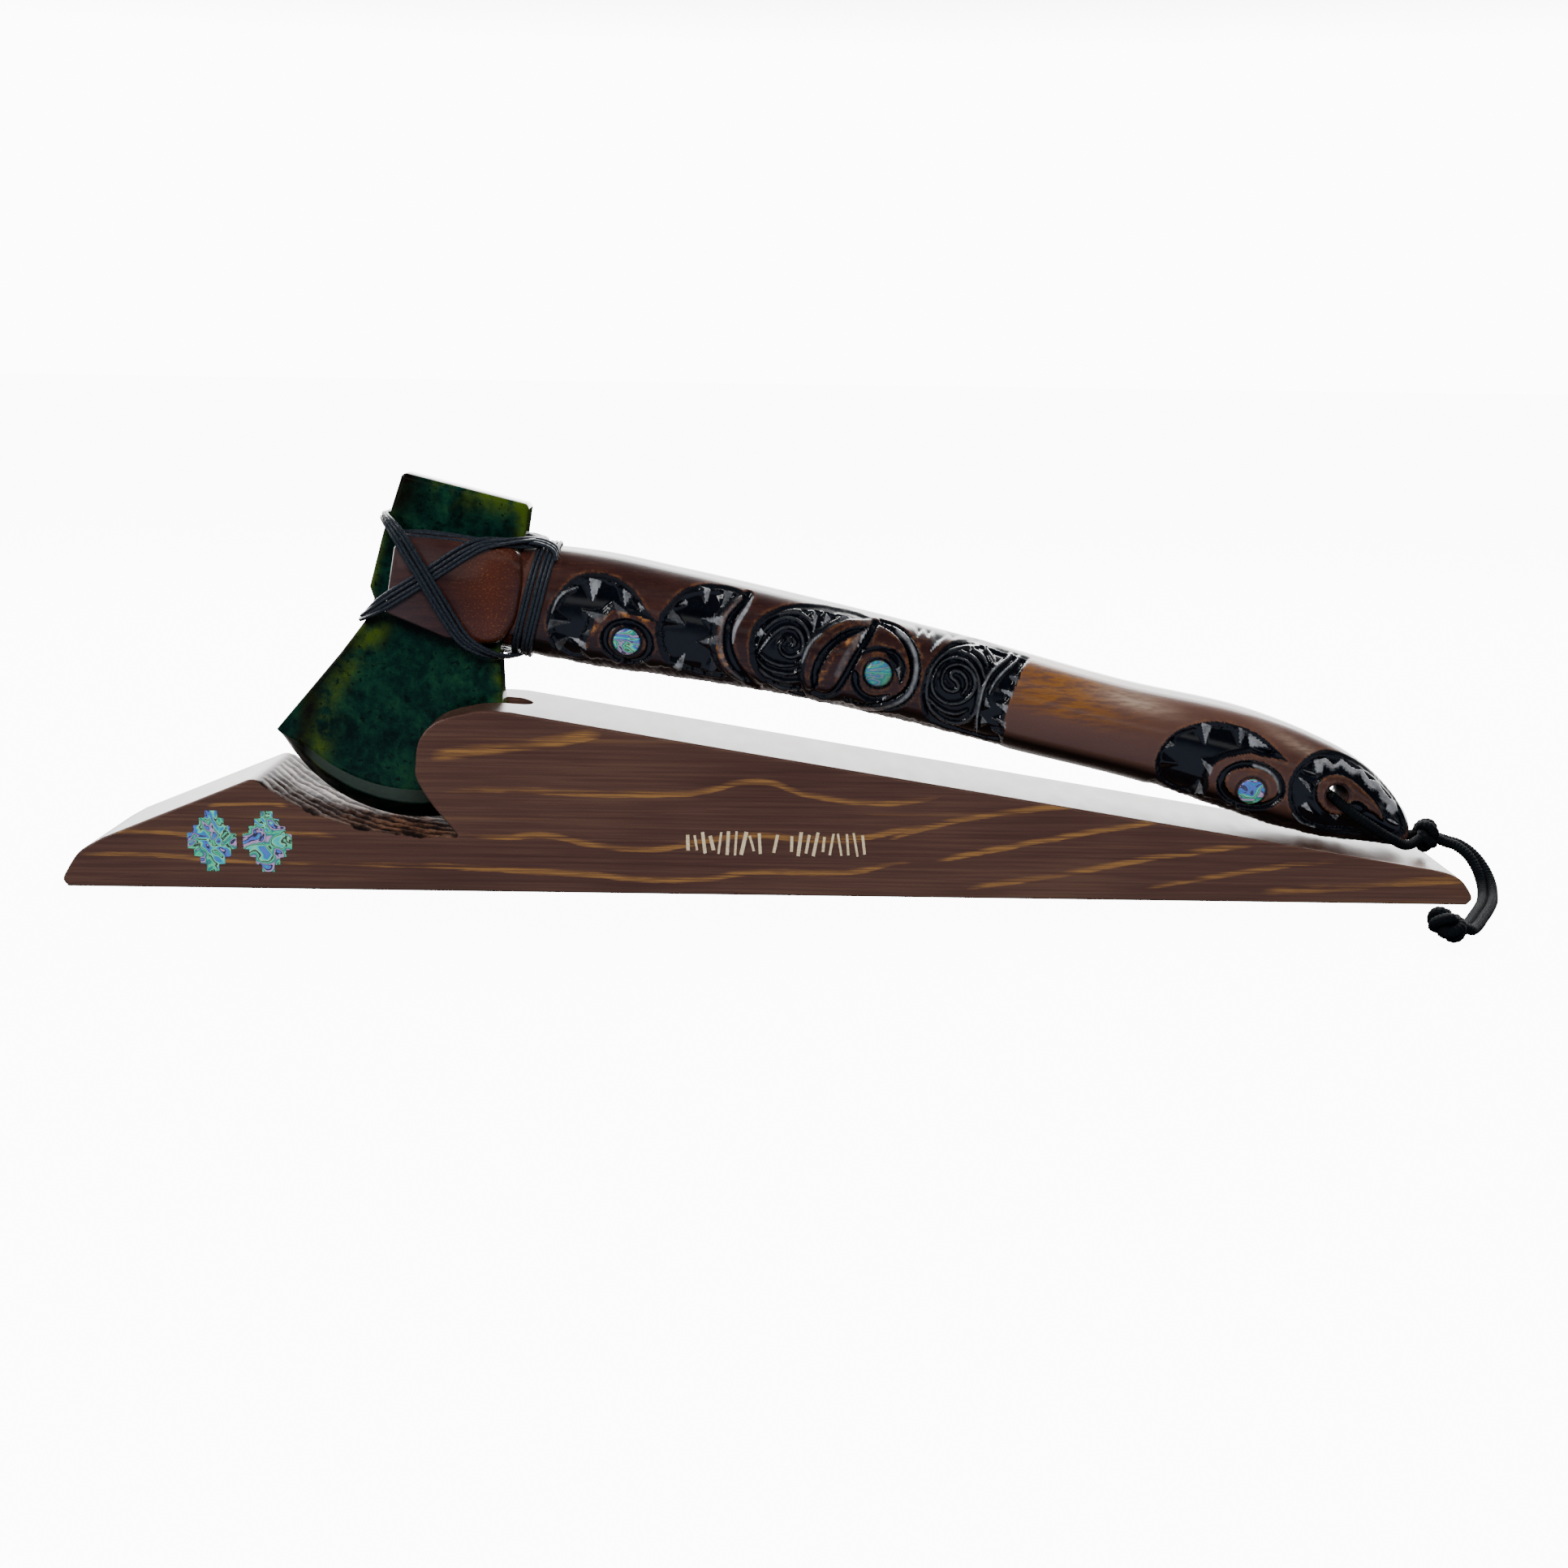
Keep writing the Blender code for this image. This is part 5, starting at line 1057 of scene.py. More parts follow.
def carve_back(cut):
    """The back repeats the motifs more plainly."""
    crescent = smooth(((44, 6), (36, 12), (34, 20), (38, 29), (47, 33.6), (57, 31), (64, 24),
                       (57, 26.4), (49.6, 23.4), (46.6, 16), (48, 9)), 3, closed=True)
    cut.sink(crescent, 1.4, border=0.8)
    for eye in ((58.9, 15.6), (136, 25.4), (257, 19)):
        cut.sink(oval(eye, 8, 7), 1.2)
        cut.leave(oval(eye, 6.2, 5.5), 0.1, crown=0.2)
    for u, v, wide, high in ((104.6, 25.2, 11, 12), (158.3, 27.4, 9, 12.4)):
        cut.sink(oval((u, v), wide, high), 1.3, border=0.6)
        for share in (0.7, 0.27):
            cut.rib(oval((u, v), wide * share, high * share), 1.7, 1.0, taper=0)
    cut.sink(smooth(((234, 12), (227.6, 20), (233, 31.6), (244.5, 36.4), (256, 34.6),
                     (264, 29.6), (253, 29.4), (246, 23), (242, 13.6)), 3, closed=True), 1.4,
             border=0.8)
    cut.sink(smooth(((270.4, 24), (278.6, 34.6), (293, 32), (305.4, 22), (302, 15), (284, 12.4),
                     (272, 17)), 3, closed=True), 1.3, border=0.8)
    cut.leave(smooth(((278.8, 23), (284.6, 28.8), (292, 26), (299.6, 20.2), (286.6, 17.4)), 4,
                     closed=True), 0.05, crown=0.2)


def ring_places():
    """Places of the rings: close together where the handle is carved."""
    places = [GRIP_START]
    while places[-1] < CARVED_STRETCHES[-1][1]:
        u = places[-1]
        fine = any(a - 1 <= u <= b for a, b in CARVED_STRETCHES)
        places.append(u + (FINE_STEP if fine else PLAIN_STEP))
    return np.array(places + [311.5, 311.9, 312.2])


def section_angles():
    """Angles round the handle, evenly spaced along its side and closer on the front."""
    dense = np.linspace(-math.pi / 2, math.pi / 2, 2000)
    y = np.abs(np.cos(dense)) ** SECTION_ROUND * GRIP_HALF
    z = np.sign(np.sin(dense)) * np.abs(np.sin(dense)) ** SECTION_ROUND * 15
    run = np.concatenate(([0], np.cumsum(np.hypot(np.diff(y), np.diff(z)))))
    back = np.interp(np.linspace(0, run[-1], BACK_COLUMNS, endpoint=False), run, dense)
    front = np.interp(np.linspace(0, run[-1], FRONT_COLUMNS, endpoint=False), run, dense)
    return np.concatenate((back, front + math.pi))


def grip_grid(places, angles):
    """The plain handle as a grid of points, with the way out of it at each point."""
    middle, high, thick = (a[:, None] for a in grip_section(places))
    blunt = np.clip((312.6 - places) / 1.6, 0.25, 1)[:, None] ** 0.5
    c, s = np.cos(angles)[None], np.sin(angles)[None]
    y = np.sign(c) * np.abs(c) ** SECTION_ROUND * thick * blunt
    v = middle + np.sign(s) * np.abs(s) ** SECTION_ROUND * high * blunt
    u = np.broadcast_to(places[:, None], y.shape)
    power = 2 / SECTION_ROUND
    out_y = np.sign(y) * np.abs(y / thick) ** (power - 1) / thick
    out_v = np.sign(v - middle) * np.abs((v - middle) / high) ** (power - 1) / high
    size = np.hypot(out_y, out_v) + 1e-9
    return u, y, v, out_y / size, out_v / size


def make_cheeks():
    """The fork's two flat cheeks, and the root of the grip that joins them."""
    low, high, left, right = CHEEK_LOW, CHEEK_HIGH, CHEEK_LEFT, CHEEK_RIGHT
    outline = [(left + 1.4, low + 3.4), (left + 12, low + 1.7), (left + 22.7, low),
               *smooth(((left + 32.5, low + 1.1), (right - 2.8, low + 3.6), (right, low + 10),
                        (right + 0.2, high - 10), (right - 0.8, high - 3), (right - 3.4, high + 2.8),
                        (right - 8, high + 4.4)), 4),
               (left + 20.3, high + 3.6), (left + 1.9, high + 0.6), (left, high - 4.6)]
    count = len(outline)
    points = [(u * MM, y * MM, v * MM) for y in (-CHEEK_HALF, CHEEK_HALF) for u, v in outline]
    faces = [list(range(count))[::-1], list(range(count, 2 * count))]
    faces += [(i, (i + 1) % count, (i + 1) % count + count, i + count) for i in range(count)]
    cheeks = loose("cheeks", turned_out(mesh_from("cheeks", points, faces)))
    bm = bmesh.new()
    bm.from_mesh(cheeks.data)
    weight = bm.edges.layers.float.new("bevel_weight_edge")
    for edge in bm.edges:
        a, b = (vert.co for vert in edge.verts)
        if abs(a.y - b.y) < 0.1 * MM:
            edge[weight] = 0.35 + 0.65 * min(max(((a.x + b.x) / 2 / MM - 8) / 8, 0), 1)
    bm.to_mesh(cheeks.data)
    bm.free()
    bevel = cheeks.modifiers.new("eased", "BEVEL")
    bevel.width = 3.2 * MM
    bevel.segments = 6
    bevel.limit_method = "WEIGHT"
    cheeks.data = baked(cheeks)
    cheeks.modifiers.clear()
    sides = 64
    angles = np.linspace(0, 2 * math.pi, sides, endpoint=False) + 0.01
    u, y, v, out_y, out_v = grip_grid(np.array([16, 18, 20, 22, 24.5]), angles)
    swell = np.array([0.9, 0.9, 0.8, 0.4, -0.03])[:, None]
    points = np.stack((u, y - 0.03 * out_y, v + swell * out_v), -1).reshape(-1, 3) * MM
    root = turned_out(skin("root_of_grip", points, sides))
    carved_away(cheeks, loose("root_of_grip", root), "UNION")
    carved_away(cheeks, loose("fork", box_mesh((-40, -FORK_HALF, -20), (FORK_END, FORK_HALF, 60))))
    cheeks.data.shade_smooth()
    cheeks.data.set_sharp_from_angle(angle=math.radians(35))
    return cheeks


def box_mesh(low, high):
    bm = bmesh.new()
    bmesh.ops.create_cube(bm, size=1)
    for vert in bm.verts:
        vert.co = Vector([(a + (b - a) * (c + 0.5)) * MM for a, b, c in zip(low, high, vert.co)])
    mesh = bpy.data.meshes.new("box")
    bm.to_mesh(mesh)
    bm.free()
    return mesh


def make_handle():
    places, angles = ring_places(), section_angles()
    rows, columns = len(places), len(angles)
    u, y, v, out_y, out_v = grip_grid(places, angles)
    values = {}
    for side, carvers in ((y < 0, (carve_underside, carve_first_brow, carve_rope_bands,
                                   carve_first_spiral, carve_leaf, carve_second_spiral,
                                   carve_second_brow, carve_tip)),
                          (y >= 0, (carve_underside, carve_back))):
        cut = Carving(u[side], v[side])
        for carve in carvers:
            carve(cut)
        for name in ("deep", "black", "worn", "pale"):
            values.setdefault(name, np.zeros_like(u))[side] = getattr(cut, name)
    y = y - out_y * values["deep"]
    v = v - out_v * values["deep"]
    points = np.stack((u, y, v), -1).reshape(-1, 3)
    tip = [(312.7, 0, float(v[-1].mean()))]
    faces = list(grid_faces(rows, columns))
    last = (rows - 1) * columns
    faces += [(last + i, last + (i + 1) % columns, rows * columns) for i in range(columns)]
    faces.append(tuple(range(columns)))
    mesh = mesh_from("handle_wood", np.vstack((points, tip)) * MM, faces)
    middle, high, thick = (a[:, None] for a in grip_section(places))
    # Darker towards the underside: a dark stain there, and partly painted shade.
    values["belly"] = np.clip((-(v - middle) / high - 0.55) / 0.16, 0, 1)
    values["honey"] = (np.exp(-((u - 192) / 19) ** 2)
                       * np.clip(((v - middle) / high + 0.15) / 0.35, 0, 1))
    # Lighter wood on the plain stretch and at the neck: partly the wood's own tone, partly painted
    # sheen.
    grown = np.where(y < 0, (u - 174) / 3, (u - 160) / 50)
    values["tone_and_sheen"] = (np.clip(grown, 0, 1) * (1 - 0.6 * np.clip((u - 262) / 30, 0, 1))
                       + 0.5 * np.clip((34 - u) / 6, 0, 1))
    # Painted highlights: bright patches along the top of the plain stretch and near the tip.
    values["painted_shine"] = (np.exp(-((u - 214) / 12) ** 2 - ((v - 36.4) / 2.2) ** 2)
                       + 0.55 * np.exp(-((u - 270) / 13) ** 2
                                       - ((v - 35 + 0.25 * (u - 270)) / 1.7) ** 2))
    for name in HANDLE_LAYERS:
        store(mesh, name, np.append(values[name], 0))
    turned_out(mesh)
    handle = loose("handle_wood", mesh)
    hole = oval((0, 0), 1, 1)
    profile = ((-20, 5.6), (-8.5, HOLE_RADIUS), (0, 0.6 * HOLE_RADIUS), (8.5, HOLE_RADIUS),
               (20, 5.6))
    pin = [((HOLE_PLACE[0] + a * radius) * MM, y * MM, (HOLE_PLACE[1] + b * radius) * MM)
           for y, radius in profile for a, b in hole]
    bore = turned_out(skin("pin", pin, len(hole)))
    for name in HANDLE_LAYERS:
        store(bore, name, np.full(len(bore.vertices), 0.62 if name == "black" else 0))
    carved_away(handle, loose("pin", bore))
    cheeks = make_cheeks()
    mesh = together(handle.data, cheeks.data)
    mesh.name = "carved_handle"
    mesh.transform(AXE)
    mesh.set_sharp_from_angle(angle=math.radians(50))
    for obj in (handle, cheeks):
        bpy.data.objects.remove(obj, do_unlink=True)
    piece("carved_handle", mesh, handle_finish(), "handle_wood", "handle")


# Stone

def stone_side(v, column):
    levels = [row[0] for row in STONE_SIDES][::-1]
    return np.interp(v, levels, [row[column] for row in STONE_SIDES][::-1])


def make_stone():
    """One side of the blade as a grid from butt to cutting edge, mirrored for the other."""
    points, rim, bevel = [], [], []

    def add_row(u, v, depth, near, share=0.0):
        points.append(np.stack((u, depth, np.broadcast_to(v, u.shape)), 1))
        rim.append(near)
        bevel.append(np.full_like(u, share))

    levels = list(STONE_TOP - STONE_ROUND * (1 - np.cos(np.linspace(0, math.pi / 2, 6))))
    levels += list(np.linspace(levels[-1] - 0.6, SHOULDER_LEVEL, 60))
    for v in levels:
        u = stone_columns(stone_side(v, 1), stone_side(v, 2))
        near = np.minimum(np.minimum(np.minimum(u - u[0], u[-1] - u), 30), STONE_TOP - v)
        add_row(u, v, stone_depth(near), near)
    straight = points[-1][:, ::2]
    reach = math.sqrt(EDGE_RADIUS ** 2 - (EDGE_CENTRE[1] - TIP_LEVEL) ** 2)
    ends = stone_columns(EDGE_CENTRE[0] - reach, EDGE_CENTRE[0] + reach)
    crest_u = BEVEL_CENTRE[0] + (ends - EDGE_CENTRE[0]) * 0.93
    crest, edge = (np.stack((u, centre[1] - np.sqrt(radius ** 2 - (u - centre[0]) ** 2)), 1)
                   for u, centre, radius in ((crest_u, BEVEL_CENTRE, BEVEL_RADIUS),
                                             (ends, EDGE_CENTRE, EDGE_RADIUS)))
    meet = np.clip((ends[0] + 12 - ends) / 12, 0, 1)[:, None] ** 1.5
    crest = crest + (edge - crest) * 0.9 * meet
    side = np.minimum(ends - ends[0], ends[-1] - ends)
    full = stone_depth(side)
    for t in np.linspace(0, 1, 16)[1:]:
        u, v = (straight + (crest - straight) * t).T
        add_row(u, v, full, np.minimum(side, 40))
    for t in np.linspace(0, 1, 14)[1:]:
        u, v = (crest + (edge - crest) * t).T
        bulge = 0.35 * math.sin(math.pi * t) * (full / STONE_HALF)
        add_row(u, v, full + (EDGE_HALF - full) * t + bulge, np.minimum(side, 12 * (1 - t)), t)
    grid = np.array(points)
    rows, columns = grid.shape[:2]
    both = np.vstack(((grid * (1, -1, 1)).reshape(-1, 3), grid.reshape(-1, 3)))
    one, size = grid_faces(rows, columns, closed=False), rows * columns
    border = [*range(columns), *range(2 * columns - 1, size, columns),
              *range(size - 2, size - columns - 1, -1), *range(size - 2 * columns, 0, -columns)]
    faces = [*one, *(one + size)]
    faces += [(a, b, b + size, a + size) for a, b in zip(border, border[1:] + border[:1])]
    mesh = mesh_from("stone_blade", both * MM, faces)
    store(mesh, "rim", np.tile(np.array(rim).ravel(), 2))
    # How far across the bevel a point lies; the finish paints reflections by it.
    store(mesh, "bevel", np.tile(np.array(bevel).ravel(), 2))
    u, v = both[:, 0], both[:, 2]
    left, right = (stone_side(np.clip(v, SHOULDER_LEVEL, 48), i) for i in (1, 2))
    inset = u - left
    corner = np.exp(-((u + 19) / 6) ** 2 - ((v - 45) / 12) ** 2)
    slope = np.exp(-(inset / 3.2) ** 2) * np.clip((2 - v) / 10, 0, 1)
    store(mesh, "dark", np.clip(corner * 1.3 + slope * 1.1, 0, 1))
    gold = (np.exp(-((STONE_TOP - v) / 4.5) ** 2) * np.clip((u + 12) / 6, 0, 1)
            + np.exp(-((right - u) / 2.2) ** 2)
            + np.exp(-((inset - 5) / 3.4) ** 2) * np.clip((6 - v) / 8, 0, 1)
            + np.exp(-(inset / 1.5) ** 2))
    store(mesh, "gold", np.clip(gold, 0, 1))
    turned_out(mesh)
    mesh.transform(AXE)
    mesh.shade_smooth()
    mesh.set_sharp_from_angle(angle=math.radians(38))
    piece("stone_blade", mesh, stone_finish(), "greenstone", "axe_head")


def stone_columns(left, right):
    """Places across the stone, close together at its rounded sides."""
    turn = STONE_ROUND * (1 - np.cos(np.linspace(0, math.pi / 2, 6)))
    middle = np.linspace(left + STONE_ROUND + 0.6, right - STONE_ROUND - 0.6, 38)
    return np.concatenate((left + turn, middle, right - turn[::-1]))


def stone_depth(near):
    """Half thickness at a distance from the stone's edge."""
    inner = np.clip(STONE_ROUND - near, 0, STONE_ROUND)
    return STONE_HALF - STONE_ROUND + np.sqrt(STONE_ROUND ** 2 - inner ** 2)


# Eyes and inlays

def eye_place(spot, side):
    u, v = spot
    middle, high, thick = (float(a) for a in grip_section(u))
    power = 2 / SECTION_ROUND
    share = max(min((v - middle) / high, 0.98), -0.98)
    y = thick * (1 - abs(share) ** power) ** (1 / power)
    slope = math.copysign(abs(share) ** (power - 1), share) / high
    out = Vector((0, side * (y / thick) ** (power - 1) / thick, slope)).normalized()
    return Vector((u, side * y, v)), out


def make_eyes():
    """Domed shell discs; the middle ones are higher and plainer."""
    angles = np.linspace(0, 2 * math.pi, EYE_SIDES, endpoint=False)
    for side, word in ((-1, "front"), (1, "back")):
        for count, spot in enumerate(EYE_PLACES, 1):
            dome, pattern = (1.1, 0.3) if count == 2 else (0.35, 0.9)
            profile = [(EYE_RADIUS * math.sin(a) * 0.94, dome * math.cos(a) ** 0.9)
                       for a in np.linspace(0.15, 1.35, 9)]
            profile += [(EYE_RADIUS, -0.1), (EYE_RADIUS, -EYE_DEPTH - 0.2)]
            points = [(0, 0, dome)]
            points += [(radius * math.cos(a), radius * math.sin(a), height)
                       for radius, height in profile for a in angles]
            faces = [(0, 1 + i, 1 + (i + 1) % EYE_SIDES) for i in range(EYE_SIDES)]
            faces += list(grid_faces(len(profile), EYE_SIDES) + 1)
            faces.append(range(len(points) - EYE_SIDES, len(points)))
            mesh = turned_out(mesh_from("eye", np.array(points) * MM, faces))
            point, out = eye_place(spot, side)
            turn = Vector((0, 0, 1)).rotation_difference(out).to_matrix().to_4x4()
            lift = Matrix.Translation(out * 0.15 * MM)
            mesh.transform(AXE @ lift @ Matrix.Translation(point * MM) @ turn)
            mesh.shade_smooth()
            name = f"eye_{word}_{count}"
            finish = shell_finish(f"shell_{word}_{count}", 3.1 * count + (7 if side > 0 else 0),
                                  pattern, (0.5, 1, 1.7))
            piece(name + "_shell", mesh, finish, "shell", name)


def dress_inlays():
    for seed, name in ((1.3, "inlay_left"), (6.1, "inlay_right")):
        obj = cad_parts[name]
        obj.data.materials.clear()
        obj.data.materials.append(shell_finish("shell_" + name, seed, 1.0))


# Stand

def bezier(a, b, c, d, steps):
    a, b, c, d = (np.array(p, float) for p in (a, b, c, d))
    t = np.linspace(0, 1, steps + 1)[:, None]
    return a * (1 - t) ** 3 + 3 * b * t * (1 - t) ** 2 + 3 * c * t ** 2 * (1 - t) + d * t ** 3


def mouth_line():
    left = -STAND_LENGTH / 2 + PEAK_INSET + 2.1
    high, low = PEAK_HEIGHT - 0.6, MOUTH_HEIGHT
    return bezier((left, high), (left + 0.302 * MOUTH_LENGTH, low + 0.2 * (high - low)),
                  (left + 0.618 * MOUTH_LENGTH, low), (left + MOUTH_LENGTH, low), 150)


def stand_outline():
    """The outline in the X-Z plane, and which of its points lie in the mouth."""
    half = STAND_LENGTH / 2
    nose = smooth([(-half + 0.11 * NOSE_LENGTH, 0), (-half, 0.14 * NOSE_HEIGHT),
                   (-half + 0.1 * NOSE_LENGTH, 0.33 * NOSE_HEIGHT),
                   (-half + 0.43 * NOSE_LENGTH, 0.71 * NOSE_HEIGHT),
                   (-half + NOSE_LENGTH, NOSE_HEIGHT)], 8)
    peak_u = -half + PEAK_INSET
    rise = np.linspace((-half + NOSE_LENGTH, NOSE_HEIGHT), (peak_u - 4.4, PEAK_HEIGHT - 1.3), 20)
    peak = smooth([(peak_u - 4.4, PEAK_HEIGHT - 1.3), (peak_u - 1.7, PEAK_HEIGHT - 0.2),
                   (peak_u, PEAK_HEIGHT)], 6)
    mouth = mouth_line()
    shares = ((0, 0), (-0.062, 0.08), (-0.203, 0.253), (-0.314, 0.443), (-0.324, 0.559),
              (-0.291, 0.758), (-0.157, 0.907), (0.1, 0.985), (0.263, 1.0), (0.425, 0.992))
    lobe = smooth([mouth[-1] + np.array(s) * (LOBE_HEIGHT - MOUTH_HEIGHT) for s in shares], 9)
    end = (half - TAIL_ROUND, TAIL_HEIGHT)
    back = np.linspace(lobe[-1], end, 40)
    tail = smooth([end, (half - 0.55 * TAIL_ROUND, 0.87 * TAIL_HEIGHT),
                   (half - 0.26 * TAIL_ROUND, 0.68 * TAIL_HEIGHT),
                   (half - 0.05 * TAIL_ROUND, 0.36 * TAIL_HEIGHT),
                   (half, 0.16 * TAIL_HEIGHT), (half - 0.12 * TAIL_ROUND, 0)], 7)
    foot = np.linspace(tail[-1], nose[0], 30)[1:-1]
    parts = [nose[:-1], rise[:-1], peak, mouth[:-1], lobe[:-1], back[:-1], tail, foot]
    start = sum(len(p) for p in parts[:3])
    count = np.zeros(sum(len(p) for p in parts))
    count[start:start + len(parts[3])] = np.linspace(0, 1, len(parts[3])) + 1e-6
    return np.vstack(parts), count


def make_stand():
    outline, mouth = stand_outline()
    ahead = np.roll(outline, -1, 0) - np.roll(outline, 1, 0)
    out = np.stack((-ahead[:, 1], ahead[:, 0]), 1)
    out /= np.linalg.norm(out, axis=1, keepdims=True)
    half = STAND_DEPTH / 2
    back = [(half - STAND_EDGE * (1 - math.sin(a)), STAND_EDGE * (1 - math.cos(a)))
            for a in np.linspace(0, math.pi / 2, 5)]
    inner = [(y, 0.0) for y in np.linspace(-half + STAND_EDGE, half - STAND_EDGE, STAND_ROWS)[1:-1]]
    rows = [(-y, inset) for y, inset in back[::-1]] + inner + back
    points, ridged = [], []
    for y, inset in rows:
        ring = outline - out * inset
        drift = 0.3 * ring[:, 0] + 2.2 * ripple(ring[:, 0] * 0.35, y * 0.25 + ring[:, 0] * 0, 3)
        phase = (y + drift) / MOUTH_RIDGE_PITCH
        crest = 1 - np.abs(((phase + 0.12 * ripple(ring[:, 0] * 1.5, phase, 8)) % 1) * 2 - 1)
        fade = np.clip(mouth * 14, 0, 1) * np.clip((1 - mouth) * 5, 0, 1) * (mouth > 0)
        depth = MOUTH_RIDGE_HEIGHT * fade * (1 - crest) ** 1.4
        ring = ring - out * depth[:, None]
        points.append(np.stack((ring[:, 0], np.full(len(ring), y), ring[:, 1]), 1))
        # Share of ridge crest in the mouth; the pine finish paints crests lighter and grooves darker by
        # it.
        ridged.append(np.where(mouth > 0, 0.3 + 0.7 * crest, 0))
    mesh = skin("stand_block", np.array(points).reshape(-1, 3) * MM, len(outline))
    inward = (np.abs([y for y, _ in rows]) < half - 0.01)[:, None]
    store(mesh, "ridge", np.array(ridged) * inward)
    store(mesh, "mouth", (mouth > 0)[None] * inward)
    turned_out(mesh)
    stand = loose("stand_block", mesh)
    carved_away(stand, make_slot_cutter())
    wooden, pale = len(stand.data.polygons), stroke_finish()
    mesh = together(stand.data, make_strokes(pale))
    bpy.data.objects.remove(stand, do_unlink=True)
    mesh.set_sharp_from_angle(angle=math.radians(40))
    for face in mesh.polygons:
        if abs(face.normal.y) > 0.995:
            face.use_smooth = False
    piece("stand_block", mesh, pine_finish(), "stand_wood", "stand")
    mesh.materials.append(pale)
    mesh.polygons.foreach_set("material_index",
                              (np.arange(len(mesh.polygons)) >= wooden).astype(np.int32))


def make_slot_cutter():
    """The slot that lets the cutting edge run into the lobe."""
    end, half = SLOT_END, SLOT_HALF
    start = float(mouth_line()[-1][0]) - 4
    outside = start - 22
    floor = []
    for x in np.linspace(start, end, 24):
        drop = math.sqrt(max(SLOT_FLOOR_RADIUS ** 2 - (x - SLOT_FLOOR_CENTRE[0]) ** 2, 0))
        floor.append((x, SLOT_FLOOR_CENTRE[1] - drop))
    profile = [(outside, floor[0][1] + 18), *floor, (end + 8, floor[-1][1])]
    points = [(x, y, level) for x, z in profile
              for y, level in ((-2 * half, z), (2 * half, z), (2 * half, 70), (-2 * half, 70))]
    slot = loose("slot", turned_out(skin("slot", np.array(points) * MM, 4)))
    plan = [(outside, -half), *((end - half + half * math.cos(a), half * math.sin(a))
                                for a in np.linspace(-math.pi / 2, math.pi / 2, 25)),
            (outside, half)]
    points = [(x, y, level) for level in (-20, 100) for x, y in plan]
    walls = turned_out(skin("slot_plan", np.array(points) * MM, len(plan)))
    return carved_away(slot, loose("slot_plan", walls), "INTERSECT")


def stroke_tree():
    """A row of slim upright bars, each of its own height and lean."""
    tree, ask = group_start("pale_strokes", "Strokes", Geometry="Geometry", Start="Vector",
                            End="Vector", Count="Int", Width="Float", Height="Float",
                            Depth="Float", Finish="Material")
    row = node(tree, "GeometryNodeMeshLine", {"Count": ask["Count"], "Start Location": ask["Start"],
                                              "Offset": ask["End"]}, mode="END_POINTS")
    index = node(tree, "GeometryNodeInputIndex").outputs[0]
    pause = number(tree, "COMPARE", number(tree, "MODULO", times(tree, index, 3.7), 8), 0.0, 1.0)
    kept = node(tree, "GeometryNodeDeleteGeometry", {"Geometry": row.outputs[0],
                                                     "Selection": pause}, domain="POINT")
    size = node(tree, "ShaderNodeCombineXYZ", {0: ask["Width"], 1: ask["Depth"],
                                               2: ask["Height"]}).outputs[0]
    bar = node(tree, "GeometryNodeMeshCube", {"Size": size})
    tall, lean = (node(tree, "FunctionNodeRandomValue", {"Min": low, "Max": high, "Seed": seed},
                       data_type="FLOAT_VECTOR").outputs[0]
                  for low, high, seed in (((0.75, 1, 0.55), (1.3, 1, 1.0), 4),
                                          ((0, -0.28, 0), (0, 0.28, 0), 9)))
    spread = node(tree, "GeometryNodeInstanceOnPoints",
                  {"Points": kept.outputs[0], "Instance": bar.outputs[0], "Rotation": lean,
                   "Scale": tall})
    return group_end(tree, spread.outputs[0], ask["Finish"], "Strokes")


def make_strokes(finish):
    obj = loose("strokes", bpy.data.meshes.new("strokes"))
    modifier = obj.modifiers.new("row", "NODES")
    modifier.node_group = stroke_tree()
    level, front = (STROKES_LOW + STROKES_HIGH) / 2 * MM, -STAND_DEPTH / 2 * MM
    set_inputs(modifier, {"Start": (STROKES_START * MM, front, level),
                          "End": (STROKES_END * MM, front, level), "Count": STROKE_COUNT,
                          "Width": STROKE_WIDTH * MM, "Height": (STROKES_HIGH - STROKES_LOW) * MM,
                          "Depth": 2 * STROKE_PROUD * MM, "Finish": finish})
    mesh = baked(obj)
    bpy.data.objects.remove(obj, do_unlink=True)
    return mesh


# Finishes

def streak(tree, x, z, points, half):
    """How far a place lies within a line of golden grain, drawn through points in millimetres."""
    start, end, tallest = points[0][0], points[-1][0], 60
    share = number(tree, "DIVIDE", number(tree, "SUBTRACT", x, start * MM), (end - start) * MM)
    line = node(tree, "ShaderNodeFloatCurve", {"Value": share})
    curve = line.mapping.curves[0]
    curve.points[0].location = (0, points[0][1] / tallest)
    curve.points[1].location = (1, points[-1][1] / tallest)
    for u, v in points[1:-1]:
        curve.points.new((u - start) / (end - start), v / tallest)
    line.mapping.update()
    off = number(tree, "SUBTRACT", z, times(tree, line.outputs[0], tallest * MM))
    gap = number(tree, "MAXIMUM", number(tree, "DIVIDE", off, 1.5 * half * MM),
                 number(tree, "DIVIDE", off, -0.55 * half * MM))
    ends = times(tree, times(tree, share, 9.0, clamp=True),
                 times(tree, number(tree, "SUBTRACT", 1.0, share), 9.0, clamp=True), clamp=True)
    return times(tree, number(tree, "SUBTRACT", 1.0, gap, clamp=True), ends)


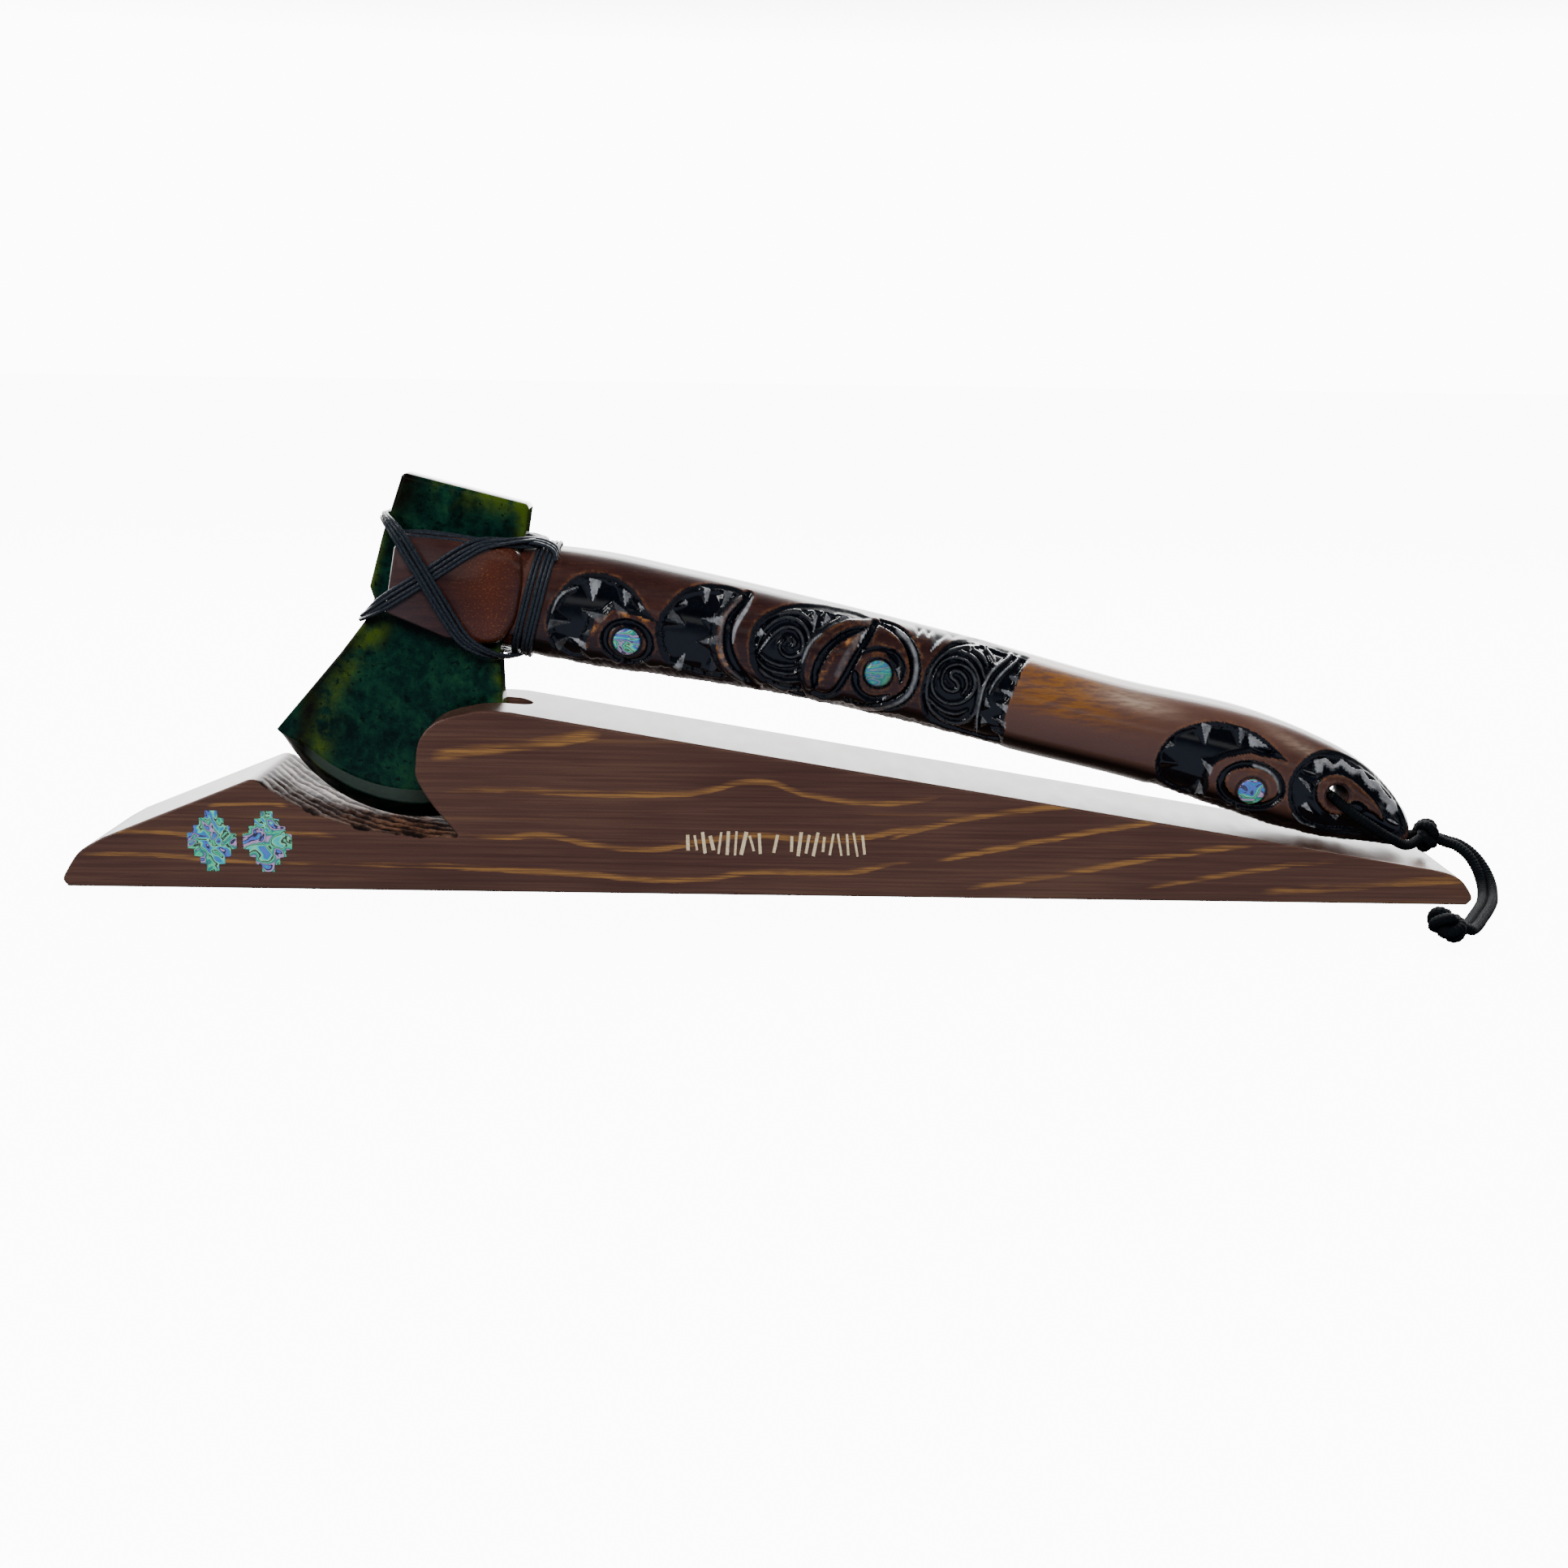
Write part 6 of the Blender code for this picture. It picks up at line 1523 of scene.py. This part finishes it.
def pine_finish():
    """Dark stained pine: purple-brown, with wavy golden lines of hard grain on its faces."""
    material, tree, shader = finish_start("stained_pine", Roughness=0.34, Specular_IOR_Level=0.4)
    spot = node(tree, "ShaderNodeTexCoord").outputs["Object"]
    x, y, z = node(tree, "ShaderNodeSeparateXYZ", {0: spot}).outputs
    sway = grain(tree, (16, 12, 40), 2, 0.5)
    ragged = grain(tree, (90, 40, 900), 3, 0.6)
    fibre = grain(tree, (22, 60, 1300), 3, 0.6)
    moved = scaled(tree, number(tree, "SUBTRACT", sway, 0.5), 0.0022,
                   scaled(tree, number(tree, "SUBTRACT", ragged, 0.5), 0.0010, z))
    gold = None
    for half, points in GRAIN_LINES:
        line = streak(tree, x, moved, points, half)
        gold = line if gold is None else number(tree, "MAXIMUM", gold, line)
    broken = grain(tree, (30, 14, 130), 3, 0.6)
    gold = times(tree, gold, ramp(tree, broken, (0.36, 0.35), (0.56, 1.0)))
    gold = times(tree, gold, ramp(tree, fibre, (0.36, 0.25), (0.5, 1.0)))
    faint = ramp(tree, grain(tree, (8, 12, 330), 2, 0.5), (0.62, 0.0), (0.7, 0.16))
    gold = ramp(tree, number(tree, "MAXIMUM", gold, faint), (0.08, 0.0), (0.5, 1.0))
    hairs = grain(tree, (45, 60, 2600), 2, 0.6)
    gold = times(tree, gold, ramp(tree, hairs, (0.4, 0.3), (0.58, 1.0)))
    face = number(tree, "GREATER_THAN", number(tree, "ABSOLUTE", y), (STAND_DEPTH / 2 - 0.3) * MM)
    base = ramp(tree, scaled(tree, fibre, 0.6, times(tree, sway, 0.4)),
                (0.34, (0.062, 0.027, 0.021)), (0.5, (0.088, 0.042, 0.031)),
                (0.64, (0.120, 0.063, 0.044)))
    wood = mix(tree, times(tree, gold, face), base, (0.34, 0.17, 0.055))
    mouth, ridge = attribute(tree, "mouth"), attribute(tree, "ridge")
    sawn = grain(tree, (160, 160, 500), 4, 0.7)
    # Sawn and scorched wood in the mouth, with painted highlights on the ridge crests and painted shade
    # in the grooves.
    sawn_with_painted_ridges = ramp(tree, scaled(tree, sawn, 0.5, times(tree, ridge, 0.55)),
               (0.42, (0.003, 0.0015, 0.0015)), (0.6, (0.030, 0.015, 0.012)),
               (0.76, (0.15, 0.115, 0.10)))
    scorched_with_painted_ridges = ramp(tree, scaled(tree, sawn, 0.75, times(tree, ridge, 0.25)),
                    (0.46, (0.006, 0.0025, 0.002)), (0.56, (0.045, 0.017, 0.009)),
                    (0.68, (0.20, 0.085, 0.04)))
    burnt = ramp(tree, scaled(tree, x, 18.0, 2.8), (0.2, 0.0), (0.75, 1.0))
    sawn_with_painted_ridges = mix(tree, times(tree, burnt, 0.8), sawn_with_painted_ridges, scorched_with_painted_ridges)
    tree.links.new(mix(tree, mouth, wood, sawn_with_painted_ridges), shader.inputs["Base Color"])
    rougher = number(tree, "SUBTRACT", scaled(tree, burnt, 0.3, 0.5), times(tree, ridge, 0.3))
    tree.links.new(scaled(tree, mouth, rougher, scaled(tree, fibre, 0.14, 0.27)),
                   shader.inputs["Roughness"])
    bump(tree, shader, scaled(tree, sawn, mouth, fibre), 0.25, 0.0002)
    return material


def stroke_finish():
    material, tree, shader = finish_start("burnt_pale", Roughness=0.8)
    grain = noise(tree, place(tree, (300, 300, 900)), 3.0, 4)
    shade = ramp(tree, grain, (0.3, (0.74, 0.56, 0.30)), (0.7, (0.95, 0.84, 0.62)))
    tree.links.new(shade, shader.inputs["Base Color"])
    return material


def handle_finish():
    """Red-brown hardwood under gloss; cuts are black, edges are worn to gold."""
    material, tree, shader = finish_start("handle_wood", Roughness=0.3, Coat_Weight=0.55,
                                          Coat_Roughness=0.07, Specular_IOR_Level=0.3)
    black, worn, pale, belly, honey, tone_and_sheen, painted_shine = (attribute(tree, n) for n in HANDLE_LAYERS)
    turn = (0, -AXE_TILT, 0)
    fibre = grain(tree, (40, 300, 500), 4, 0.65, turn)
    cloud = grain(tree, (9, 30, 34), 3, 0.5, turn)
    streaks = grain(tree, (110, 900, 900), 3, 0.6, turn)
    specks = grain(tree, (1300, 2000, 2000), 3, 0.6, turn)
    patchy = grain(tree, (500, 500, 500), 4, 0.6)
    spot = node(tree, "ShaderNodeTexCoord").outputs["Object"]
    x = node(tree, "ShaderNodeSeparateXYZ", {0: spot}).outputs[0]
    base = ramp(tree, scaled(tree, fibre, 0.45, times(tree, cloud, 0.55)),
                (0.32, (0.010, 0.0032, 0.0040)), (0.5, (0.024, 0.0078, 0.0080)),
                (0.66, (0.050, 0.0175, 0.0140)))
    # Lighter brown: the wood's own tone there, and partly painted sheen.
    lighter_tone_and_sheen = times(tree, tone_and_sheen, ramp(tree, cloud, (0.35, 0.5), (0.6, 0.95)))
    cool = ramp(tree, scaled(tree, x, -45.0, -4.5), (0.0, 0.0), (1.0, 0.6))
    flame = times(tree, honey, ramp(tree, streaks, (0.4, 0.1), (0.58, 1.0)))
    # Painted highlight, light pinkish brown, where the top catches the light.
    painted_gleam = times(tree, painted_shine, ramp(tree, streaks, (0.35, 0.4), (0.6, 0.85)))
    ember = ramp(tree, number(tree, "ABSOLUTE", scaled(tree, x, 75.0, 6.4)), (0.0, 1.0), (1.0, 0.0))
    dust = times(tree, ramp(tree, specks, (0.56, 0.0), (0.68, 0.6)), scaled(tree, ember, 0.9, 0.1))
    silk = ramp(tree, streaks, (0.6, 0.0), (0.72, 0.35))
    rub = times(tree, number(tree, "SUBTRACT", worn, belly, clamp=True),
                ramp(tree, patchy, (0.42, 0.0), (0.62, 1.0)))
    paint = ramp(tree, black, (0.12, 0.0), (0.5, 1.0))
    soot = ramp(tree, patchy, (0.3, (0.0006, 0.0010, 0.0026)), (0.7, (0.0017, 0.0032, 0.0070)))
    # Painted highlights: the pale layer turns lit facets light grey.
    painted_glint = ramp(tree, pale, (0.08, 0.0), (0.3, 0.22), (0.55, 0.8), (0.8, 1.0))
    grey = times(tree, painted_glint, ramp(tree, patchy, (0.3, 0.35), (0.6, 1.0)), clamp=True)
    # The belly share darkens the underside: dark stain and painted shade.
    tint = laid_over(
        tree, base, (lighter_tone_and_sheen, (0.132, 0.065, 0.050)), (cool, (0.080, 0.054, 0.056)),
        (flame, (0.26, 0.105, 0.022)), (painted_gleam, (0.52, 0.38, 0.30)),
        (times(tree, ember, 0.6), (0.105, 0.024, 0.010)), (dust, (0.30, 0.12, 0.035)),
        (silk, (0.16, 0.06, 0.028)), (belly, (0.0016, 0.001, 0.0012)),
        (rub, (0.36, 0.15, 0.045)), (paint, soot), (grey, (0.36, 0.38, 0.41)))
    tree.links.new(tint, shader.inputs["Base Color"])
    matte = ramp(tree, black, (0.0, 0.3), (0.5, 0.55), (0.7, 0.5), (0.95, 0.08))
    tree.links.new(scaled(tree, fibre, 0.08, matte), shader.inputs["Roughness"])
    bump(tree, shader, number(tree, "ADD", times(tree, fibre, 0.6),
                              times(tree, times(tree, patchy, paint), 0.8)), 0.18, 0.0002)
    return material


def stone_finish():
    """Polished greenstone: mottled deep green, black specks, yellow-green along its edges, and a
    painted light reflection over a painted dark reflection on the bevel.
    """
    material, tree, shader = finish_start(
        "greenstone", Roughness=0.12, Coat_Weight=0.05, Coat_Roughness=0.04,
        Specular_IOR_Level=0.15, Subsurface_Weight=0.06, Subsurface_Scale=1.0,
        Subsurface_Radius=(0.0006, 0.0016, 0.0008))
    spot = place(tree)
    cloud = noise(tree, spot, 110, 6, 0.62, 0.6)
    fine = noise(tree, spot, 420, 5, 0.65, 0.3)
    warm = noise(tree, spot, 130, 4, 0.6)
    specks = noise(tree, spot, 620, 3, 0.55)
    bevel = attribute(tree, "bevel")
    green = ramp(tree, scaled(tree, fine, 0.4, times(tree, cloud, 0.6)),
                 (0.38, (0.0006, 0.0065, 0.0052)), (0.48, (0.0015, 0.019, 0.0128)),
                 (0.56, (0.0035, 0.036, 0.020)), (0.68, (0.011, 0.062, 0.023)))
    yellow_rims = times(tree, attribute(tree, "gold"), ramp(tree, warm, (0.4, 0.0), (0.6, 1.0)))
    dark = times(tree, attribute(tree, "dark"), ramp(tree, cloud, (0.3, 0.5), (0.6, 1.0)))
    # Painted reflections on the bevel: a light grey-green band above, a near-black band below.
    painted_reflection_band = ramp(tree, bevel, (0.02, 0.0), (0.06, 0.95), (0.45, 0.85), (0.52, 0.0))
    green = laid_over(
        tree, green, (yellow_rims, (0.050, 0.088, 0.007)),
        (ramp(tree, specks, (0.62, 0.0), (0.68, 0.85)), (0.001, 0.004, 0.003)),
        (painted_reflection_band, (0.062, 0.086, 0.076)),
        (ramp(tree, bevel, (0.50, 0.0), (0.56, 0.95)), (0.0006, 0.002, 0.002)),
        (dark, (0.0035, 0.003, 0.0016)))
    tree.links.new(green, shader.inputs["Base Color"])
    tree.links.new(scaled(tree, fine, 0.12, 0.07), shader.inputs["Roughness"])
    bump(tree, shader, cloud, 0.05, 0.0003)
    return material


def shell_finish(name, seed, pattern, stretch=(1, 1, 1)):
    """Shell: turquoise, green and violet bands between dark wavy veins."""
    material, tree, shader = finish_start(name, Roughness=0.14, Coat_Weight=0.9, Coat_Roughness=0.04)
    spot = node(tree, "ShaderNodeTexCoord").outputs["Object"]
    moved = node(tree, "ShaderNodeMapping", {
        "Vector": spot, "Location": (seed * 0.013, 0, seed * 0.007),
        "Rotation": (0, 0.6 if pattern < 1 else seed, 0), "Scale": stretch}).outputs[0]
    warp = noise(tree, moved, 110, 2, 0.45, 1.6)
    bands = number(tree, "FRACT", times(tree, warp, 4.2))
    colour = ramp(tree, bands, (0.0, (0.01, 0.20, 0.22)), (0.14, (0.04, 0.75, 0.42)),
                  (0.28, (0.55, 1.0, 0.50)), (0.4, (0.06, 0.85, 0.66)), (0.55, (0.02, 0.25, 0.68)),
                  (0.7, (0.16, 0.20, 0.90)), (0.84, (0.72, 0.46, 0.84)), (1.0, (0.01, 0.20, 0.22)))
    veins = number(tree, "FRACT", times(tree, warp, 8.4))
    veins = number(tree, "ABSOLUTE", number(tree, "SUBTRACT", veins, 0.5))
    line = ramp(tree, veins, (0.0, 1.0), (0.07, 0.9), (0.15, 0.0))
    plain = mix(tree, noise(tree, moved, 120, 2), (0.008, 0.10, 0.10), (0.05, 0.34, 0.27))
    colour = mix(tree, pattern, plain, colour)
    colour = mix(tree, times(tree, line, pattern), colour, (0.004, 0.015, 0.02))
    tree.links.new(colour, shader.inputs["Base Color"])
    bump(tree, shader, warp, 0.08, 0.0002)
    return material


def wind(tree, along, about):
    """A wave along a thread, with so many crests to a metre and so many round it."""
    turns = scaled(tree, attribute(tree, "run"), along, times(tree, attribute(tree, "turn"), about))
    return number(tree, "SINE", times(tree, turns, 2 * math.pi))


def thread_finish():
    """Waxed thread: blue-black with a grey sheen."""
    material, tree, shader = finish_start("waxed_thread", Roughness=0.32, Specular_IOR_Level=0.35)
    fuzz = grain(tree, (1600, 1600, 1600), 3, 0.7)
    shade = ramp(tree, fuzz, (0.3, (0.005, 0.0075, 0.012)), (0.7, (0.028, 0.036, 0.048)))
    tree.links.new(shade, shader.inputs["Base Color"])
    bump(tree, shader, scaled(tree, wind(tree, 590.0, 3.0), 0.35, fuzz), 0.5, 0.00012)
    return material


def braid_finish():
    """Matte black braid of fine yarns."""
    material, tree, shader = finish_start("black_braid", Roughness=0.8, Specular_IOR_Level=0.12)
    yarn = wind(tree, 1400.0, 18.0)
    fuzz = grain(tree, (1500, 1500, 1500), 4, 0.7)
    shade = ramp(tree, scaled(tree, yarn, 0.08, fuzz), (0.3, (0.0012, 0.0016, 0.0024)),
                 (0.75, (0.0075, 0.010, 0.0125)))
    tree.links.new(shade, shader.inputs["Base Color"])
    bump(tree, shader, scaled(tree, yarn, 0.5, fuzz), 0.6, 0.00015)
    return material


def main():
    make_camera()
    laid = thread_tree()
    make_cords(laid)
    make_stage()
    make_light()
    make_stand()
    dress_inlays()
    make_stone()
    make_handle()
    make_eyes()
    make_lashing(laid)


main()
